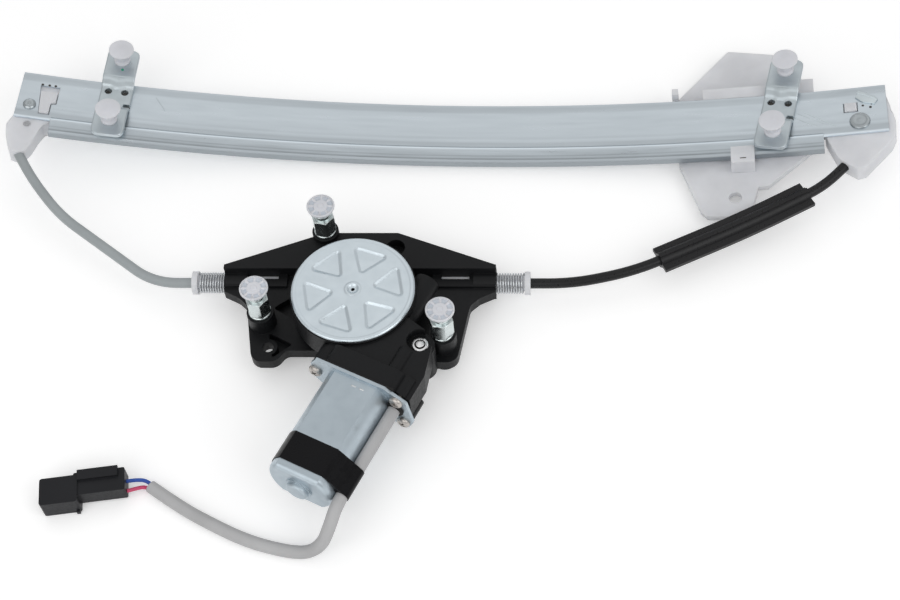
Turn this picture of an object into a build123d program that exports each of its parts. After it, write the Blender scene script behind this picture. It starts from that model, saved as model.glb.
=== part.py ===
from build123d import *
from math import asin, cos, degrees, pi, radians, sin, tan
import os

# Window regulator with one curved guide rail, a cable drum and a worm gear motor.
# Millimetres, +Z up. It lies flat with its fixing studs up: X runs along the rail, Y across it.
# The origin is at the middle of the rail's length, centred across, on the plane it rests on.

# ---------------------------------------------------------------- guide rail
rail_radius = 1121.3       # arc of the web's upper face, about an axis along Y above the part
rail_low = 7.0             # height of the web's upper face at the lowest point of the arc
rail_half_angle = 11.34    # degrees from the middle to each end
sheet = 1.2                # thickness of the rail's steel strip
web_back = 100.5           # Y of the rail's back edge
web_front = 72.3           # Y of the step between web and flange
back_lip = 4.0             # drop of the turned-down back edge
ridge_rise = 1.0           # step between web and flange
flange_drop = 1.9          # fall of the flange from the ridge to the front lip
lip_front = 64.5           # Y of the front lip's outer face
lip_drop = 5.0             # depth of the front lip below the web's upper face
flange_left_x = -202.0     # the flange stops short of the web at both ends
flange_right_x = 189.5
running_gap = 0.4          # clearance between parts that slide or turn

# ---------------------------------------------------------------- lift cable and conduits
cable_d = 1.5
cable_bore = 2.4           # bore of every conduit, ferrule and cable channel
cable_y = 74.0             # Y of the cable's run under the rail
cable_depth = 5.0          # depth of that run below the web's upper face
left_turn_r = 11.0         # radius of the cable's turn in each rail end guide
right_turn_r = 9.0
conduit_d = 5.0
guide_h = 9.6
spring_d = 10.6
spring_coils = 11
spring_seat = 9.0          # length of spring inside the drum housing
ferrule_flange = 2.8
sleeve_w = 14.0
sleeve_h = 9.0
sleeve_core_r = 3.8
fin_t = 2.2
ferrule_proud = 16.4       # distance of the ferrules' outer faces from the housing's arms
ferrule_seat = 6.0         # length of conduit held in each ferrule
ferrule_r = 3.9

# ---------------------------------------------------------------- brackets
bracket_w = 16.5
bracket_t = 2.0
bracket_seat = 0.05
bracket_lift = 3.0         # clearance under the raised pads, which the carrier passes under
bracket_front = 63.2
bracket_back = 120.0
tongue_end = 82.7
joggle_start = 95.1
joggle_end = 104.5
left_bracket_x = -172.2
right_bracket_x = 168.4
right_bracket_skew = 11.6  # degrees, its back end swung towards the rail's right end
bracket_stud_front = 72.8
bracket_stud_back = 112.3
stud_d = 6.0               # M6
mushroom_d = 12.8

# ---------------------------------------------------------------- glass carrier
carrier_x = 152.0          # rest place along the rail
carrier_depth = 7.0        # depth of the plate's upper face below the web's upper face
carrier_t = 3.0
glass_bore = 6.2
shoe_half = 29.0           # half length of the sliding shoe under the web
nipple_d = 5.0
nipple_len = 7.0

# ---------------------------------------------------------------- drum unit
drum_x = -33.8
drum_y = -34.5
unit_turn = 1.6            # degrees between the drum unit and the rail
cable_r = 20.0             # radius at which the cable winds
cable_z = 11.0
drum_bottom = 3.0
drum_top = 19.0
drum_rim = 21.4
floor_t = 2.6              # thickness of the drum well's floor
deck_under = 9.0           # height of the decks' undersides, above the drum well's floor
low_deck = 15.0
high_deck = 22.0
arm_half = 65.6            # half width of the housing across its two arms
arm_back = 3.4             # depth of each arm's end behind the cable's line
arm_front = 7.4            # and before it
collar_r = 25.5
pocket_floor = 1.8         # thickness left under the pockets
slot_in = 39.4             # the slots over the ferrules' tubes, from the drum's middle plane
slot_out = 52.8
spindle_r = 4.0
stud_circle = 45.0
stud_angles = (186.8, 338.2, 112.8)
stud_seat = 24.6           # height at which the hex standoffs seat
stud_top = 40.0
hex_flats = 10.0
plug_cap_d = 13.4
shank_r = 4.0
boss_r = 6.8
foot_bore = 5.2
lug_bolt_r = 3.0
cable_wraps = 5
wrap_pitch = 1.9

# ---------------------------------------------------------------- worm gear
bowl_r = 29.6
bowl_wall = 5.4
bowl_floor = 20.0
bowl_top = 35.4
lug_seat = bowl_floor
lug_top = 29.0
cover_r = 29.0
cover_t = 1.0
cover_press = 0.8          # depth of the forms pressed into the cover
wheel_teeth = 73
wheel_r = 21.3             # tip radius of the worm wheel
wheel_face = 7.0           # width of its teeth
tooth_gap = 1.1            # space between two teeth at their tips
tooth_depth = 1.7
worm_z = 26.0
worm_offset = 25.8         # between the wheel's axis and the worm's axis
worm_r = 4.1               # crest radius of the worm
shaft_r = 2.5
damper_r = 15.0
bearing_r = 4.6
worm_half = 9.0
neck_u = 40.0              # end of the gear housing's neck, along the motor
neck_top = 34.0
motor_turn = 25.4          # degrees between the motor's axis and the unit's Y axis

# ---------------------------------------------------------------- motor, along its own axis
flange_u = 41.0            # distance of the flange from the wheel's axis, along the motor
flange_t = 1.5
can_r = 16.0
can_half = 12.0            # half thickness across the flats
can_wall = 1.6
can_end = 96.0
rear_boss = 3.0
tape_start = 77.0
tape_end = 91.5
tape_t = 0.35
tunnel_end = -26.0
tunnel_r = 6.0
rear_boss_r = 5.4
screw_r = 1.9
magnet_r = 10.5
magnet_start = 50.0
magnet_end = 88.0
core_r = 9.8
core_start = 53.0
core_end = 83.0
commutator_r = 5.0
commutator_u = 34.5

# ---------------------------------------------------------------- lead
lead_d = 6.0
wire_d = 1.8
lead_side = 19.0           # the clamped lead lies this far beside the motor's axis
lead_split = 88.0          # where the clamped stretch ends, under the tape, along the motor
lead_route = (
    (-28.31, -133.08, 26.0), (-31.54, -140.40, 26.0), (-34.5, -147.5, 19.5),
    (-38.5, -152.0, 9.5), (-46.0, -153.5, 3.1), (-58.0, -152.5, 3.1), (-74.0, -148.5, 3.1),
    (-90.0, -141.5, 3.1), (-106.0, -133.5, 3.1), (-121.5, -123.5, 3.1),
)
blue_route = (
    (-120.9, -122.6, 3.1), (-124.4, -120.9, 4.2), (-128.4, -121.7, 5.6), (-132.3, -122.7, 6.0),
)
red_route = (
    (-122.1, -124.4, 3.1), (-125.2, -123.5, 2.4), (-128.4, -125.4, 4.0), (-131.5, -127.1, 5.0),
)
connector_x = -150.9
connector_y = -128.2
connector_turn = 10.2
hood_len = 17.3            # the wide mouth of the connector
hood_w = 13.4
hood_h = 11.0
hood_wall = 1.4
body_len = 21.5            # its narrower rear body, where the wires enter
body_w = 11.3
body_h = 8.6
mouth_depth = 15.0
latch_len = 18.5
latch_w = 5.0
latch_h = 1.6

os.makedirs("parts", exist_ok=True)


def save(piece, name):
    """Label one finished piece and write its STEP file."""
    piece.part.label = name
    export_step(piece.part, f"parts/{name}.step")


# ================================================================ places
ferrule_out = arm_half + ferrule_proud
ferrule_in = slot_in - 1.4
rail_centre_z = rail_low + rail_radius
rail_axis = Axis((0, 0, rail_centre_z), (0, 1, 0))


def rail_plane(angle):
    """Plane across the rail at an angle of its arc: x along Y, y up towards the arc's centre."""
    a = radians(angle)
    origin = (rail_radius * sin(a), 0, rail_centre_z - rail_radius * cos(a))
    return Plane(origin, x_dir=(0, 1, 0), z_dir=(cos(a), 0, sin(a)))


def seat_plane(x, height=0.0, y=0.0, turn=0.0):
    """Plane on the web's upper face at a given X: x along the rail, z up off the web."""
    a = asin(x / rail_radius)
    r = rail_radius - height
    origin = (r * sin(a), y, rail_centre_z - r * cos(a))
    flat = Plane(origin, x_dir=(cos(a), 0, sin(a)), z_dir=(-sin(a), 0, cos(a)))
    t = radians(turn)
    return Plane(origin, x_dir=flat.x_dir * cos(t) + flat.y_dir * sin(t), z_dir=flat.z_dir)


def angle_at(x):
    """Arc angle in degrees at a given X."""
    return degrees(asin(x / rail_radius))


def unit_plane(height, turn=0.0):
    """Horizontal plane of the drum unit, centred on the drum's axis."""
    t = radians(unit_turn + turn)
    return Plane((drum_x, drum_y, height), x_dir=(cos(t), sin(t), 0), z_dir=(0, 0, 1))


def motor_plane(u):
    """Plane across the motor's axis, u from the wheel's axis: y up, z towards the motor's end."""
    flat = unit_plane(worm_z, -motor_turn)
    origin = flat.from_local_coords((worm_offset, -u, 0))
    return Plane(origin, x_dir=flat.x_dir, z_dir=-flat.y_dir)


def bar(x0, x1, y0, y1):
    """Upright block's plan between two x and two y."""
    with Locations(((x0 + x1) / 2, (y0 + y1) / 2)):
        Rectangle(x1 - x0, y1 - y0)


def bend_radii(route):
    """Largest arc that each corner of a route leaves room for."""
    points = [Vector(*p) for p in route]
    radii = []
    for before, corner, after in zip(points, points[1:], points[2:]):
        half_turn = radians((corner - before).get_angle(after - corner) / 2)
        run = min((corner - before).length, (after - corner).length)
        radii.append(0.45 * run / tan(half_turn))
    return radii


# ================================================================ guide rail
def rail_strip(points, from_x, to_x):
    """Strip of sheet with the given upper side, rolled along the arc between two X."""
    with BuildPart() as strip:
        with BuildSketch(rail_plane(angle_at(to_x))):
            with BuildLine():
                Polyline(*points)
                offset(amount=sheet, side=Side.LEFT, kind=Kind.INTERSECTION)
            make_face()
        revolve(axis=rail_axis, revolution_arc=angle_at(to_x) - angle_at(from_x))
    return strip.part


rail_end_x = rail_radius * sin(radians(rail_half_angle))
web_line = ((web_back, -back_lip), (web_back, 0), (web_front - 0.6, 0))
flange_line = (
    (web_front + 1.2, 0), (web_front - 0.2, ridge_rise), (web_front - 2.2, ridge_rise),
    (lip_front + 1.4, ridge_rise - flange_drop), (lip_front, ridge_rise - flange_drop - 0.8),
    (lip_front, -lip_drop),
)

guide_rivet_left = (-214.1, 80.1)
guide_rivet_right = (207.2, 79.0)
rivet_r = 2.4              # shank of the guides' rivets
rivet_fit = 0.2
left_head_r = 3.4
right_head_r = 5.1
hook_fit = 0.3             # clearance between a guide's hook and its slot in the web
left_hook_back = 89.4
hook_lean = 0.11           # slant of its outer edge
left_slot_back = 93.2      # the slot is longer than the hook, which slides in and drops forward


def left_hook(grown, back):
    """Outline of the left guide's T hook, along the rail from the rivet and across it."""
    front = 75.2 - grown
    back = back + grown
    left_edge = [(5.6 - hook_lean * (y - 75.2) - grown, y) for y in (front, back)]
    return (
        left_edge[1], (13.0 + grown, back), (13.0 + grown, 82.4 - grown),
        (10.6 + grown, 82.0 - grown), (10.6 + grown, front), left_edge[0],
    )


def right_hook(grown):
    """Outline of the right guide's hook, in the same way."""
    return (
        (-0.8 + grown, 90.7 + grown), (-0.8 + grown, 85.3 - grown), (-7.2 - grown, 85.3 - grown),
        (-7.2 - grown, 90.7 + grown),
    )


clinch_pitch = 8.5
clinch_d = 3.4

with BuildPart() as guide_rail:
    add(rail_strip(web_line, -rail_end_x, rail_end_x))
    add(rail_strip(flange_line, flange_left_x, flange_right_x))
    for rivet_x, rivet_y in (guide_rivet_left, guide_rivet_right):
        with BuildSketch(seat_plane(rivet_x, 1, rivet_y)):
            Circle(rivet_r + rivet_fit)
        extrude(amount=-4, mode=Mode.SUBTRACT)
    with BuildSketch(seat_plane(guide_rivet_left[0], 1)):
        Polygon(*left_hook(hook_fit, left_slot_back), align=None)
    extrude(amount=-4, mode=Mode.SUBTRACT)
    with BuildSketch(seat_plane(guide_rivet_right[0], 1)):
        Polygon(*right_hook(hook_fit), align=None)
    extrude(amount=-4, mode=Mode.SUBTRACT)
save(guide_rail, "guide_rail")


# ================================================================ fixing brackets
def make_bracket(x, turn):
    """Joggled bracket seated on the web: a raised pad behind it and a lanced tongue in front."""
    mid = (joggle_start + tongue_end) / 2
    top = bracket_lift + bracket_t
    seat = seat_plane(x, bracket_seat, mid, -turn)
    side = Plane(seat.origin, x_dir=seat.y_dir, z_dir=seat.x_dir)
    with BuildPart() as bracket:
        with BuildSketch(side):
            with BuildLine():
                Polyline(
                    (bracket_front - mid, bracket_lift), (tongue_end - mid - 1.6, bracket_lift),
                    (tongue_end - mid + 0.8, 0), (joggle_start - mid + 1, 0),
                    (joggle_end - mid + 1, bracket_lift), (bracket_back - mid, bracket_lift),
                    (bracket_back - mid, top), (joggle_end - mid, top),
                    (joggle_start - mid, bracket_t), (tongue_end - mid + 1.5, bracket_t),
                    (tongue_end - mid - 0.9, top), (bracket_front - mid, top), close=True,
                )
            make_face()
        extrude(amount=bracket_w / 2, both=True)
        corners = bracket.edges().filter_by(lambda e: abs(e.tangent_at(0).dot(seat.z_dir)) > 0.99)
        fillet(corners.filter_by(lambda e: abs(seat.to_local_coords(e.center()).Y) > 15), 3.5)
        with BuildSketch(seat.offset(top + 1)):
            with Locations((0, bracket_stud_front - mid), (0, bracket_stud_back - mid)):
                Circle(stud_d / 2)
        extrude(amount=-top - 2, mode=Mode.SUBTRACT)
        with BuildSketch(seat.offset(bracket_t + 1)):
            with Locations((-clinch_pitch / 2, 4.6), (clinch_pitch / 2, 4.6)):
                Circle(clinch_d / 2)
        extrude(amount=-2, mode=Mode.SUBTRACT)
        with BuildSketch(seat.offset(top + 1)):
            with Locations((bracket_w / 2 - 1.2, tongue_end - mid)):
                Rectangle(4.4, 1.6)
        extrude(amount=-top - 2, mode=Mode.SUBTRACT)
    return bracket


def make_mushrooms(x, turn):
    """Two mushroom plugs that guard a bracket's threads, with their flat heads up."""
    mid = (joggle_start + tongue_end) / 2
    seat = seat_plane(x, bracket_seat, mid, -turn)
    under = bracket_lift + 0.4
    top = bracket_lift + bracket_t
    with BuildPart() as plugs:
        for y in (bracket_stud_front, bracket_stud_back):
            spot = Plane(seat.from_local_coords((0, y - mid, 0)), x_dir=seat.x_dir, z_dir=seat.z_dir)
            side = Plane(spot.origin, x_dir=spot.x_dir, z_dir=-spot.y_dir)
            with BuildSketch(side):
                with BuildLine():
                    Polyline(
                        (0, under), (stud_d / 2, under), (stud_d / 2, top), (4.2, top),
                        (4.2, top + 1.2), (2.9, top + 2.0), (2.9, top + 5.6),
                        (mushroom_d / 2 - 1.4, top + 7.2), (mushroom_d / 2, top + 8.4),
                        (mushroom_d / 2, top + 8.9), (0, top + 9.6), close=True,
                    )
                make_face()
            revolve(axis=Axis(spot.origin, spot.z_dir))
    return plugs


left_bracket = make_bracket(left_bracket_x, 0)
save(left_bracket, "left_bracket")
right_bracket = make_bracket(right_bracket_x, right_bracket_skew)
save(right_bracket, "right_bracket")
left_bracket_plugs = make_mushrooms(left_bracket_x, 0)
save(left_bracket_plugs, "left_bracket_plugs")
right_bracket_plugs = make_mushrooms(right_bracket_x, right_bracket_skew)
save(right_bracket_plugs, "right_bracket_plugs")

# ================================================================ cable route
# Each rail end guide turns the cable from its conduit into the run under the web. The turn lies
# in a plane parallel to the web there, so its points are given along the rail from the rivet.
left_turn_plane = seat_plane(guide_rivet_left[0], -cable_depth)
right_turn_plane = seat_plane(guide_rivet_right[0], -cable_depth)
left_conduit_end = (-2.9, 55.5)
left_conduit_heading = (-0.557, 0.830)
right_conduit_end = (-6.0, 58.6)
right_conduit_heading = (0.700, 0.714)


def turn_corner(end, heading):
    """Corner where a conduit's line meets the cable's run under the web."""
    reach = (cable_y - end[1]) / heading[1]
    return (end[0] + reach * heading[0], cable_y)


def on_plane(plane, flat_point):
    """World point of a flat point on a plane."""
    return tuple(plane.from_local_coords((flat_point[0], flat_point[1], 0)))


left_corner = on_plane(left_turn_plane, turn_corner(left_conduit_end, left_conduit_heading))
right_corner = on_plane(right_turn_plane, turn_corner(right_conduit_end, right_conduit_heading))
left_end = on_plane(left_turn_plane, left_conduit_end)
right_end = on_plane(right_turn_plane, right_conduit_end)
left_lead_in = on_plane(left_turn_plane, tuple(
    e - 22 * h for e, h in zip(left_conduit_end, left_conduit_heading)))
right_lead_in = on_plane(right_turn_plane, tuple(
    e - 20 * h for e, h in zip(right_conduit_end, right_conduit_heading)))

cable_line = unit_plane(cable_z)
left_conduit_start = on_plane(cable_line, (ferrule_seat - ferrule_out, cable_r))
right_conduit_start = on_plane(cable_line, (ferrule_out - ferrule_seat, cable_r))
left_conduit_route = (
    left_conduit_start, on_plane(cable_line, (-102.0, cable_r)),
    (-163.5, 1.0, 14.0), (-189.0, 18.5, 16.0), left_lead_in, left_end,
)
right_conduit_route = (
    right_conduit_start, (68.0, -11.6, 11.0), (97.0, -4.2, 11.8), (150.0, 22.5, 14.5),
    right_lead_in, right_end,
)


def route_line(route):
    """Straight runs joined by arcs as large as the runs allow."""
    return FilletPolyline(*route, radius=bend_radii(route))


def make_conduit(route, name):
    """Conduit held at both ends, with the cable's bore through it."""
    with BuildPart() as conduit:
        with BuildLine() as centre:
            route_line(route)
        with BuildSketch(Plane(centre.line @ 0, z_dir=centre.line % 0)):
            Circle(conduit_d / 2)
            Circle(cable_bore / 2, mode=Mode.SUBTRACT)
        sweep(path=centre.line)
    print(name, "bends", [round(r, 1) for r in bend_radii(route)],
          "length", round(centre.wire().length, 1))
    return conduit


left_conduit = make_conduit(left_conduit_route, "left_conduit")
save(left_conduit, "left_conduit")
right_conduit = make_conduit(right_conduit_route, "right_conduit")
save(right_conduit, "right_conduit")

# the cable from the drum's left side, round the rail and back to the drum's right side
drum_gap = 9.4             # the cable's free ends stop this far from the drum's middle plane
cable_left_start = on_plane(cable_line, (-drum_gap, cable_r))
cable_right_start = on_plane(cable_line, (drum_gap, cable_r))
rail_run = rail_radius + cable_depth


def run_point(x):
    """Point of the cable's run under the web at a given X."""
    a = asin(x / rail_run)
    return (rail_run * sin(a), cable_y, rail_centre_z - rail_run * cos(a))


run_left = run_point(guide_rivet_left[0] + 16)
run_right = run_point(guide_rivet_right[0] - 16)


def cable_side(start, route, corner, turn_r, run_end):
    """The cable from the drum to the end of its run under the web, on one side."""
    points = (start,) + route[1:-1] + (corner, run_end)
    return FilletPolyline(*points, radius=bend_radii(route) + [turn_r])


def cable_solid(diameter):
    """The whole cable at a given diameter, also used to cut the channels that it runs in."""
    sides = (
        (cable_left_start, left_conduit_route, left_corner, left_turn_r, run_left),
        (cable_right_start, right_conduit_route, right_corner, right_turn_r, run_right),
    )
    with BuildPart() as cable:
        for start, route, corner, turn_r, run_end in sides:
            with BuildLine() as centre:
                cable_side(start, route, corner, turn_r, run_end)
            with BuildSketch(Plane(centre.line @ 0, z_dir=centre.line % 0)):
                Circle(diameter / 2)
            sweep(path=centre.line)
        start_angle = degrees(asin(run_right[0] / rail_run))
        end_angle = degrees(asin(run_left[0] / rail_run))
        with BuildSketch(rail_plane(start_angle)):
            with Locations((cable_y, -cable_depth)):
                Circle(diameter / 2)
        revolve(axis=rail_axis, revolution_arc=start_angle - end_angle)
    return cable


lift_cable = cable_solid(cable_d)
save(lift_cable, "lift_cable")
cable_channel = cable_solid(cable_bore).part


# ================================================================ rail end guides
def make_guide(plane, outline, rounding, hook, rivet_y, end, heading):
    """Nylon guide under one rail end: the cable's turn, the conduit's socket and a hook on top."""
    top = cable_depth - sheet - 0.05
    hidden = max(y for x, y in outline)
    with BuildPart() as guide:
        with BuildSketch(plane.offset(top - guide_h)) as base:
            with BuildLine():
                Polyline(*outline, close=True)
            make_face()
            fillet(base.vertices().filter_by(lambda v: v.Y < hidden - 1), rounding)
        extrude(amount=guide_h)
        with BuildSketch(plane.offset(top - 1)):
            Polygon(*hook, align=None)
        extrude(amount=cable_depth - top + 1 + hook_proud)
        with BuildSketch(plane.offset(top)):
            with Locations((0, rivet_y)):
                Circle(rivet_r)
        extrude(amount=-guide_h, mode=Mode.SUBTRACT)
        add(cable_channel, mode=Mode.SUBTRACT)
        socket = Plane(plane.from_local_coords((end[0], end[1], 0)),
                       z_dir=plane.x_dir * -heading[0] + plane.y_dir * -heading[1])
        with BuildSketch(socket):
            Circle(conduit_d / 2 + 0.05)
        extrude(amount=30, mode=Mode.SUBTRACT)
    return guide


hook_proud = 0.8           # height of the hooks above the web
left_guide_outline = (
    (-9.5, 96.0), (-9.8, 66.0), (-4.2, 49.2), (3.0, 51.0), (7.6, 68.3), (11.5, 69.5),
    (16.5, 76.5), (16.5, 96.0),
)
right_guide_outline = (
    (16.3, 96.0), (18.0, 72.0), (15.6, 63.6), (-0.8, 45.8), (-9.6, 54.0), (-17.4, 73.0),
    (-17.4, 96.0),
)
left_cable_guide = make_guide(
    left_turn_plane, left_guide_outline, 1.6, left_hook(0, left_hook_back),
    guide_rivet_left[1], left_conduit_end, left_conduit_heading)
right_cable_guide = make_guide(
    right_turn_plane, right_guide_outline, 2.2, right_hook(0),
    guide_rivet_right[1], right_conduit_end, right_conduit_heading)
save(left_cable_guide, "left_cable_guide")
save(right_cable_guide, "right_cable_guide")

rivet_head = 1.2
with BuildPart() as guide_rivets:
    for (rivet_x, rivet_y), head_r in ((guide_rivet_left, left_head_r),
                                       (guide_rivet_right, right_head_r)):
        head = seat_plane(rivet_x, 0.05, rivet_y)
        with BuildSketch(head):
            Circle(head_r)
        extrude(amount=rivet_head, taper=25)
        with BuildSketch(head):
            Circle(rivet_r)
        extrude(amount=-guide_h - sheet - 0.2)
save(guide_rivets, "guide_rivets")

# ================================================================ anti-rattle sleeve
def towards(start, end, distance):
    """Point at a distance from one point towards another."""
    a, b = Vector(*start), Vector(*end)
    return tuple(a + (b - a).normalized() * distance)


def corner_reach(route, corner):
    """Distance from a route's corner to the end of its arc."""
    points = [Vector(*p) for p in route]
    return 0.45 * min((points[corner] - points[corner - 1]).length,
                      (points[corner + 1] - points[corner]).length)


with BuildPart() as conduit_sleeve:
    route = right_conduit_route
    first = towards(route[2], route[3], corner_reach(route, 2))
    last = towards(route[4], route[3], corner_reach(route, 4))
    with BuildLine() as centre:
        FilletPolyline(first, route[3], last, radius=bend_radii(route)[2])
    heading = centre.line % 0
    with BuildSketch(Plane(centre.line @ 0, x_dir=(heading.Y, -heading.X, 0), z_dir=heading)):
        Circle(sleeve_core_r)
        Rectangle(sleeve_w, fin_t)
        Rectangle(fin_t, sleeve_h)
        Circle(conduit_d / 2 + 0.02, mode=Mode.SUBTRACT)
    sweep(path=centre.line)
save(conduit_sleeve, "conduit_sleeve")

# ================================================================ glass carrier
carrier_outline = (
    (-33.5, 108.0), (-7.7, 138.3), (15.5, 133.8), (29.3, 115.7), (34.9, 115.7), (34.9, 71.0),
    (9.9, 48.6), (5.1, 48.6), (1.2, 32.5), (-1.0, 30.5), (-20.3, 32.1), (-23.4, 35.6),
    (-33.9, 65.6),
)
glass_hole = (-6.4, 42.8)
web_under = -sheet - running_gap
clip_x = (-7.7, 4.0)


def carrier_plane(height):
    """Plane of the carrier, parallel to the web at the carrier's rest place."""
    return seat_plane(carrier_x, height)


with BuildPart() as glass_carrier:
    with BuildSketch(carrier_plane(-carrier_depth - carrier_t)) as plan:
        with BuildLine():
            Polyline(*carrier_outline, close=True)
        make_face()
        fillet(plan.vertices().filter_by(lambda v: v.Y > 130 or v.Y < 36), 2.0)
        with Locations(glass_hole):
            Circle(glass_bore / 2, mode=Mode.SUBTRACT)
    extrude(amount=carrier_t)
    with BuildSketch(carrier_plane(-carrier_depth)):
        bar(-shoe_half, shoe_half, cable_y + 2.6, web_back - sheet - running_gap)
    extrude(amount=carrier_depth + web_under)
    with BuildSketch(carrier_plane(-carrier_depth)):
        bar(-shoe_half, shoe_half, lip_front + sheet + running_gap, cable_y + 2.6)
    extrude(amount=carrier_depth - 2.9)
    with BuildSketch(carrier_plane(-carrier_depth)):
        bar(-21.0, 24.0, web_back + running_gap, 108.0)
    extrude(amount=carrier_depth - 0.4)
    with BuildSketch(carrier_plane(-carrier_depth - carrier_t)):
        bar(-36.6, -33.4, 104.0, 108.0)
    extrude(amount=carrier_depth + carrier_t + 1.8)
    with BuildSketch(carrier_plane(-carrier_depth)):
        bar(clip_x[0], clip_x[1], lip_front - running_gap - 6.0, lip_front - running_gap)
    extrude(amount=carrier_depth + 1.6)
    with BuildSketch(carrier_plane(0.4)):
        bar(clip_x[0], clip_x[1], lip_front - running_gap - 1, lip_front + 3.6)
    extrude(amount=1.2)
    with BuildSketch(carrier_plane(-carrier_depth)):
        bar(-60, 60, cable_y - cable_d / 2 - running_gap, cable_y + cable_d / 2 + running_gap)
    extrude(amount=carrier_depth, mode=Mode.SUBTRACT)
    for x0 in (-shoe_half, shoe_half - nipple_len - 0.4):
        with BuildSketch(carrier_plane(-carrier_depth - 1.0)):
            bar(x0, x0 + nipple_len + 0.4, cable_y - nipple_d / 2 - 0.1, cable_y + nipple_d / 2 + 0.1)
        extrude(amount=carrier_depth, mode=Mode.SUBTRACT)
save(glass_carrier, "glass_carrier")

with BuildPart() as cable_nipples:
    for side in (-1, 1):
        along = radians(angle_at(carrier_x)) + side * (shoe_half - nipple_len / 2 - 0.2) / rail_run
        place = rail_plane(degrees(along))
        with BuildSketch(Plane(place.from_local_coords((cable_y, -cable_depth, 0)),
                               z_dir=place.z_dir)):
            Circle(nipple_d / 2)
            Circle(cable_d / 2 + running_gap, mode=Mode.SUBTRACT)
        extrude(amount=nipple_len / 2, both=True)
save(cable_nipples, "cable_nipples")

# ================================================================ conduit ends
def make_ferrule(side):
    """Nylon ferrule: a flange that the spring pushes on, and a tube that slides in the housing."""
    with BuildPart() as ferrule:
        with BuildSketch(unit_plane(cable_z)):
            with BuildLine():
                Polyline(
                    (side * ferrule_out, cable_r), (side * ferrule_out, cable_r + spring_d / 2 + 0.4),
                    (side * (ferrule_out - ferrule_flange), cable_r + spring_d / 2 + 0.4),
                    (side * (ferrule_out - ferrule_flange), cable_r + ferrule_r),
                    (side * ferrule_in, cable_r + ferrule_r), (side * ferrule_in, cable_r),
                    close=True,
                )
            make_face()
        axis = Axis(cable_line.from_local_coords((0, cable_r, 0)), cable_line.x_dir)
        revolve(axis=axis)
        socket = Plane(cable_line.from_local_coords((side * ferrule_out, cable_r, 0)),
                       z_dir=cable_line.x_dir * -side)
        with BuildSketch(socket):
            Circle(conduit_d / 2 + 0.05)
        extrude(amount=ferrule_seat, mode=Mode.SUBTRACT)
        with BuildSketch(socket):
            Circle(cable_bore / 2)
        extrude(amount=ferrule_out, mode=Mode.SUBTRACT)
    return ferrule


def make_spring(side):
    """Conduit spring, its coils drawn as close rings between the ferrule and the housing."""
    start = arm_half - spring_seat
    pitch = (ferrule_out - ferrule_flange - start) / spring_coils
    axis = Axis(cable_line.from_local_coords((0, cable_r, 0)), cable_line.x_dir)
    with BuildPart() as spring:
        with BuildSketch(unit_plane(cable_z)):
            with BuildLine():
                for i in range(spring_coils):
                    x0 = side * (start + pitch * i)
                    x1 = side * (start + pitch * (i + 1))
                    Polyline((x0, cable_r + spring_d / 2 - 0.5),
                             ((x0 + x1) / 2 , cable_r + spring_d / 2),
                             (x1, cable_r + spring_d / 2 - 0.5))
                Polyline(
                    (side * (start + pitch * spring_coils), cable_r + spring_d / 2 - 0.5),
                    (side * (start + pitch * spring_coils), cable_r + ferrule_r + 0.1),
                    (side * start, cable_r + ferrule_r + 0.1),
                    (side * start, cable_r + spring_d / 2 - 0.5),
                )
            make_face()
        revolve(axis=axis)
    return spring


left_ferrule = make_ferrule(-1)
save(left_ferrule, "left_ferrule")
right_ferrule = make_ferrule(1)
save(right_ferrule, "right_ferrule")
left_spring = make_spring(-1)
save(left_spring, "left_spring")
right_spring = make_spring(1)
save(right_spring, "right_spring")

# ================================================================ drum housing
stud_places = [(stud_circle * cos(radians(a)), stud_circle * sin(radians(a))) for a in stud_angles]
step_y = cable_r + cable_bore / 2
foot_hole = (-40.9, -19.0)
back_hole = (16.9, 33.3)
lug_place = (32.2, -26.4)
shoulder = (17.7, 42.0)
arm_tip = (arm_half, cable_r + arm_back)
plan_half = (
    (0, shoulder[1]), shoulder, arm_tip, (arm_half, cable_r - arm_front), (58.0, 8.8),
    (53.6, 4.6), (48.2, -26.8), (36.6, -26.8), (32.4, -20.8), (0, -20.8),
)
waist_round = 5.0          # rounding of the plan where an arm runs into a foot
foot_round = 5.6
crotch_round = 4.0
tube_wall = 1.6
side_pocket = ((-40.5, 3.0), (-33.0, 8.6), (-27.4, 3.6), (-27.8, -5.2))
foot_pocket = ((-41.4, -10.8), (-29.6, -17.4), (-38.6, -24.8))
under_pocket = ((31.6, 27.8), (31.6, 33.6), (46.6, 27.8))
cap_gap = 4.6              # radius of the recess round the back hole


def mirrored(points):
    """A closed outline from the points of its +X half."""
    return points + tuple((-x, y) for x, y in reversed(points))


def flat_shape(points, rounding):
    """Closed outline with the same rounding at each corner."""
    with BuildSketch(mode=Mode.PRIVATE) as shape:
        Polygon(*points, align=None)
        fillet(shape.vertices(), rounding)
    return shape.sketch


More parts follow.
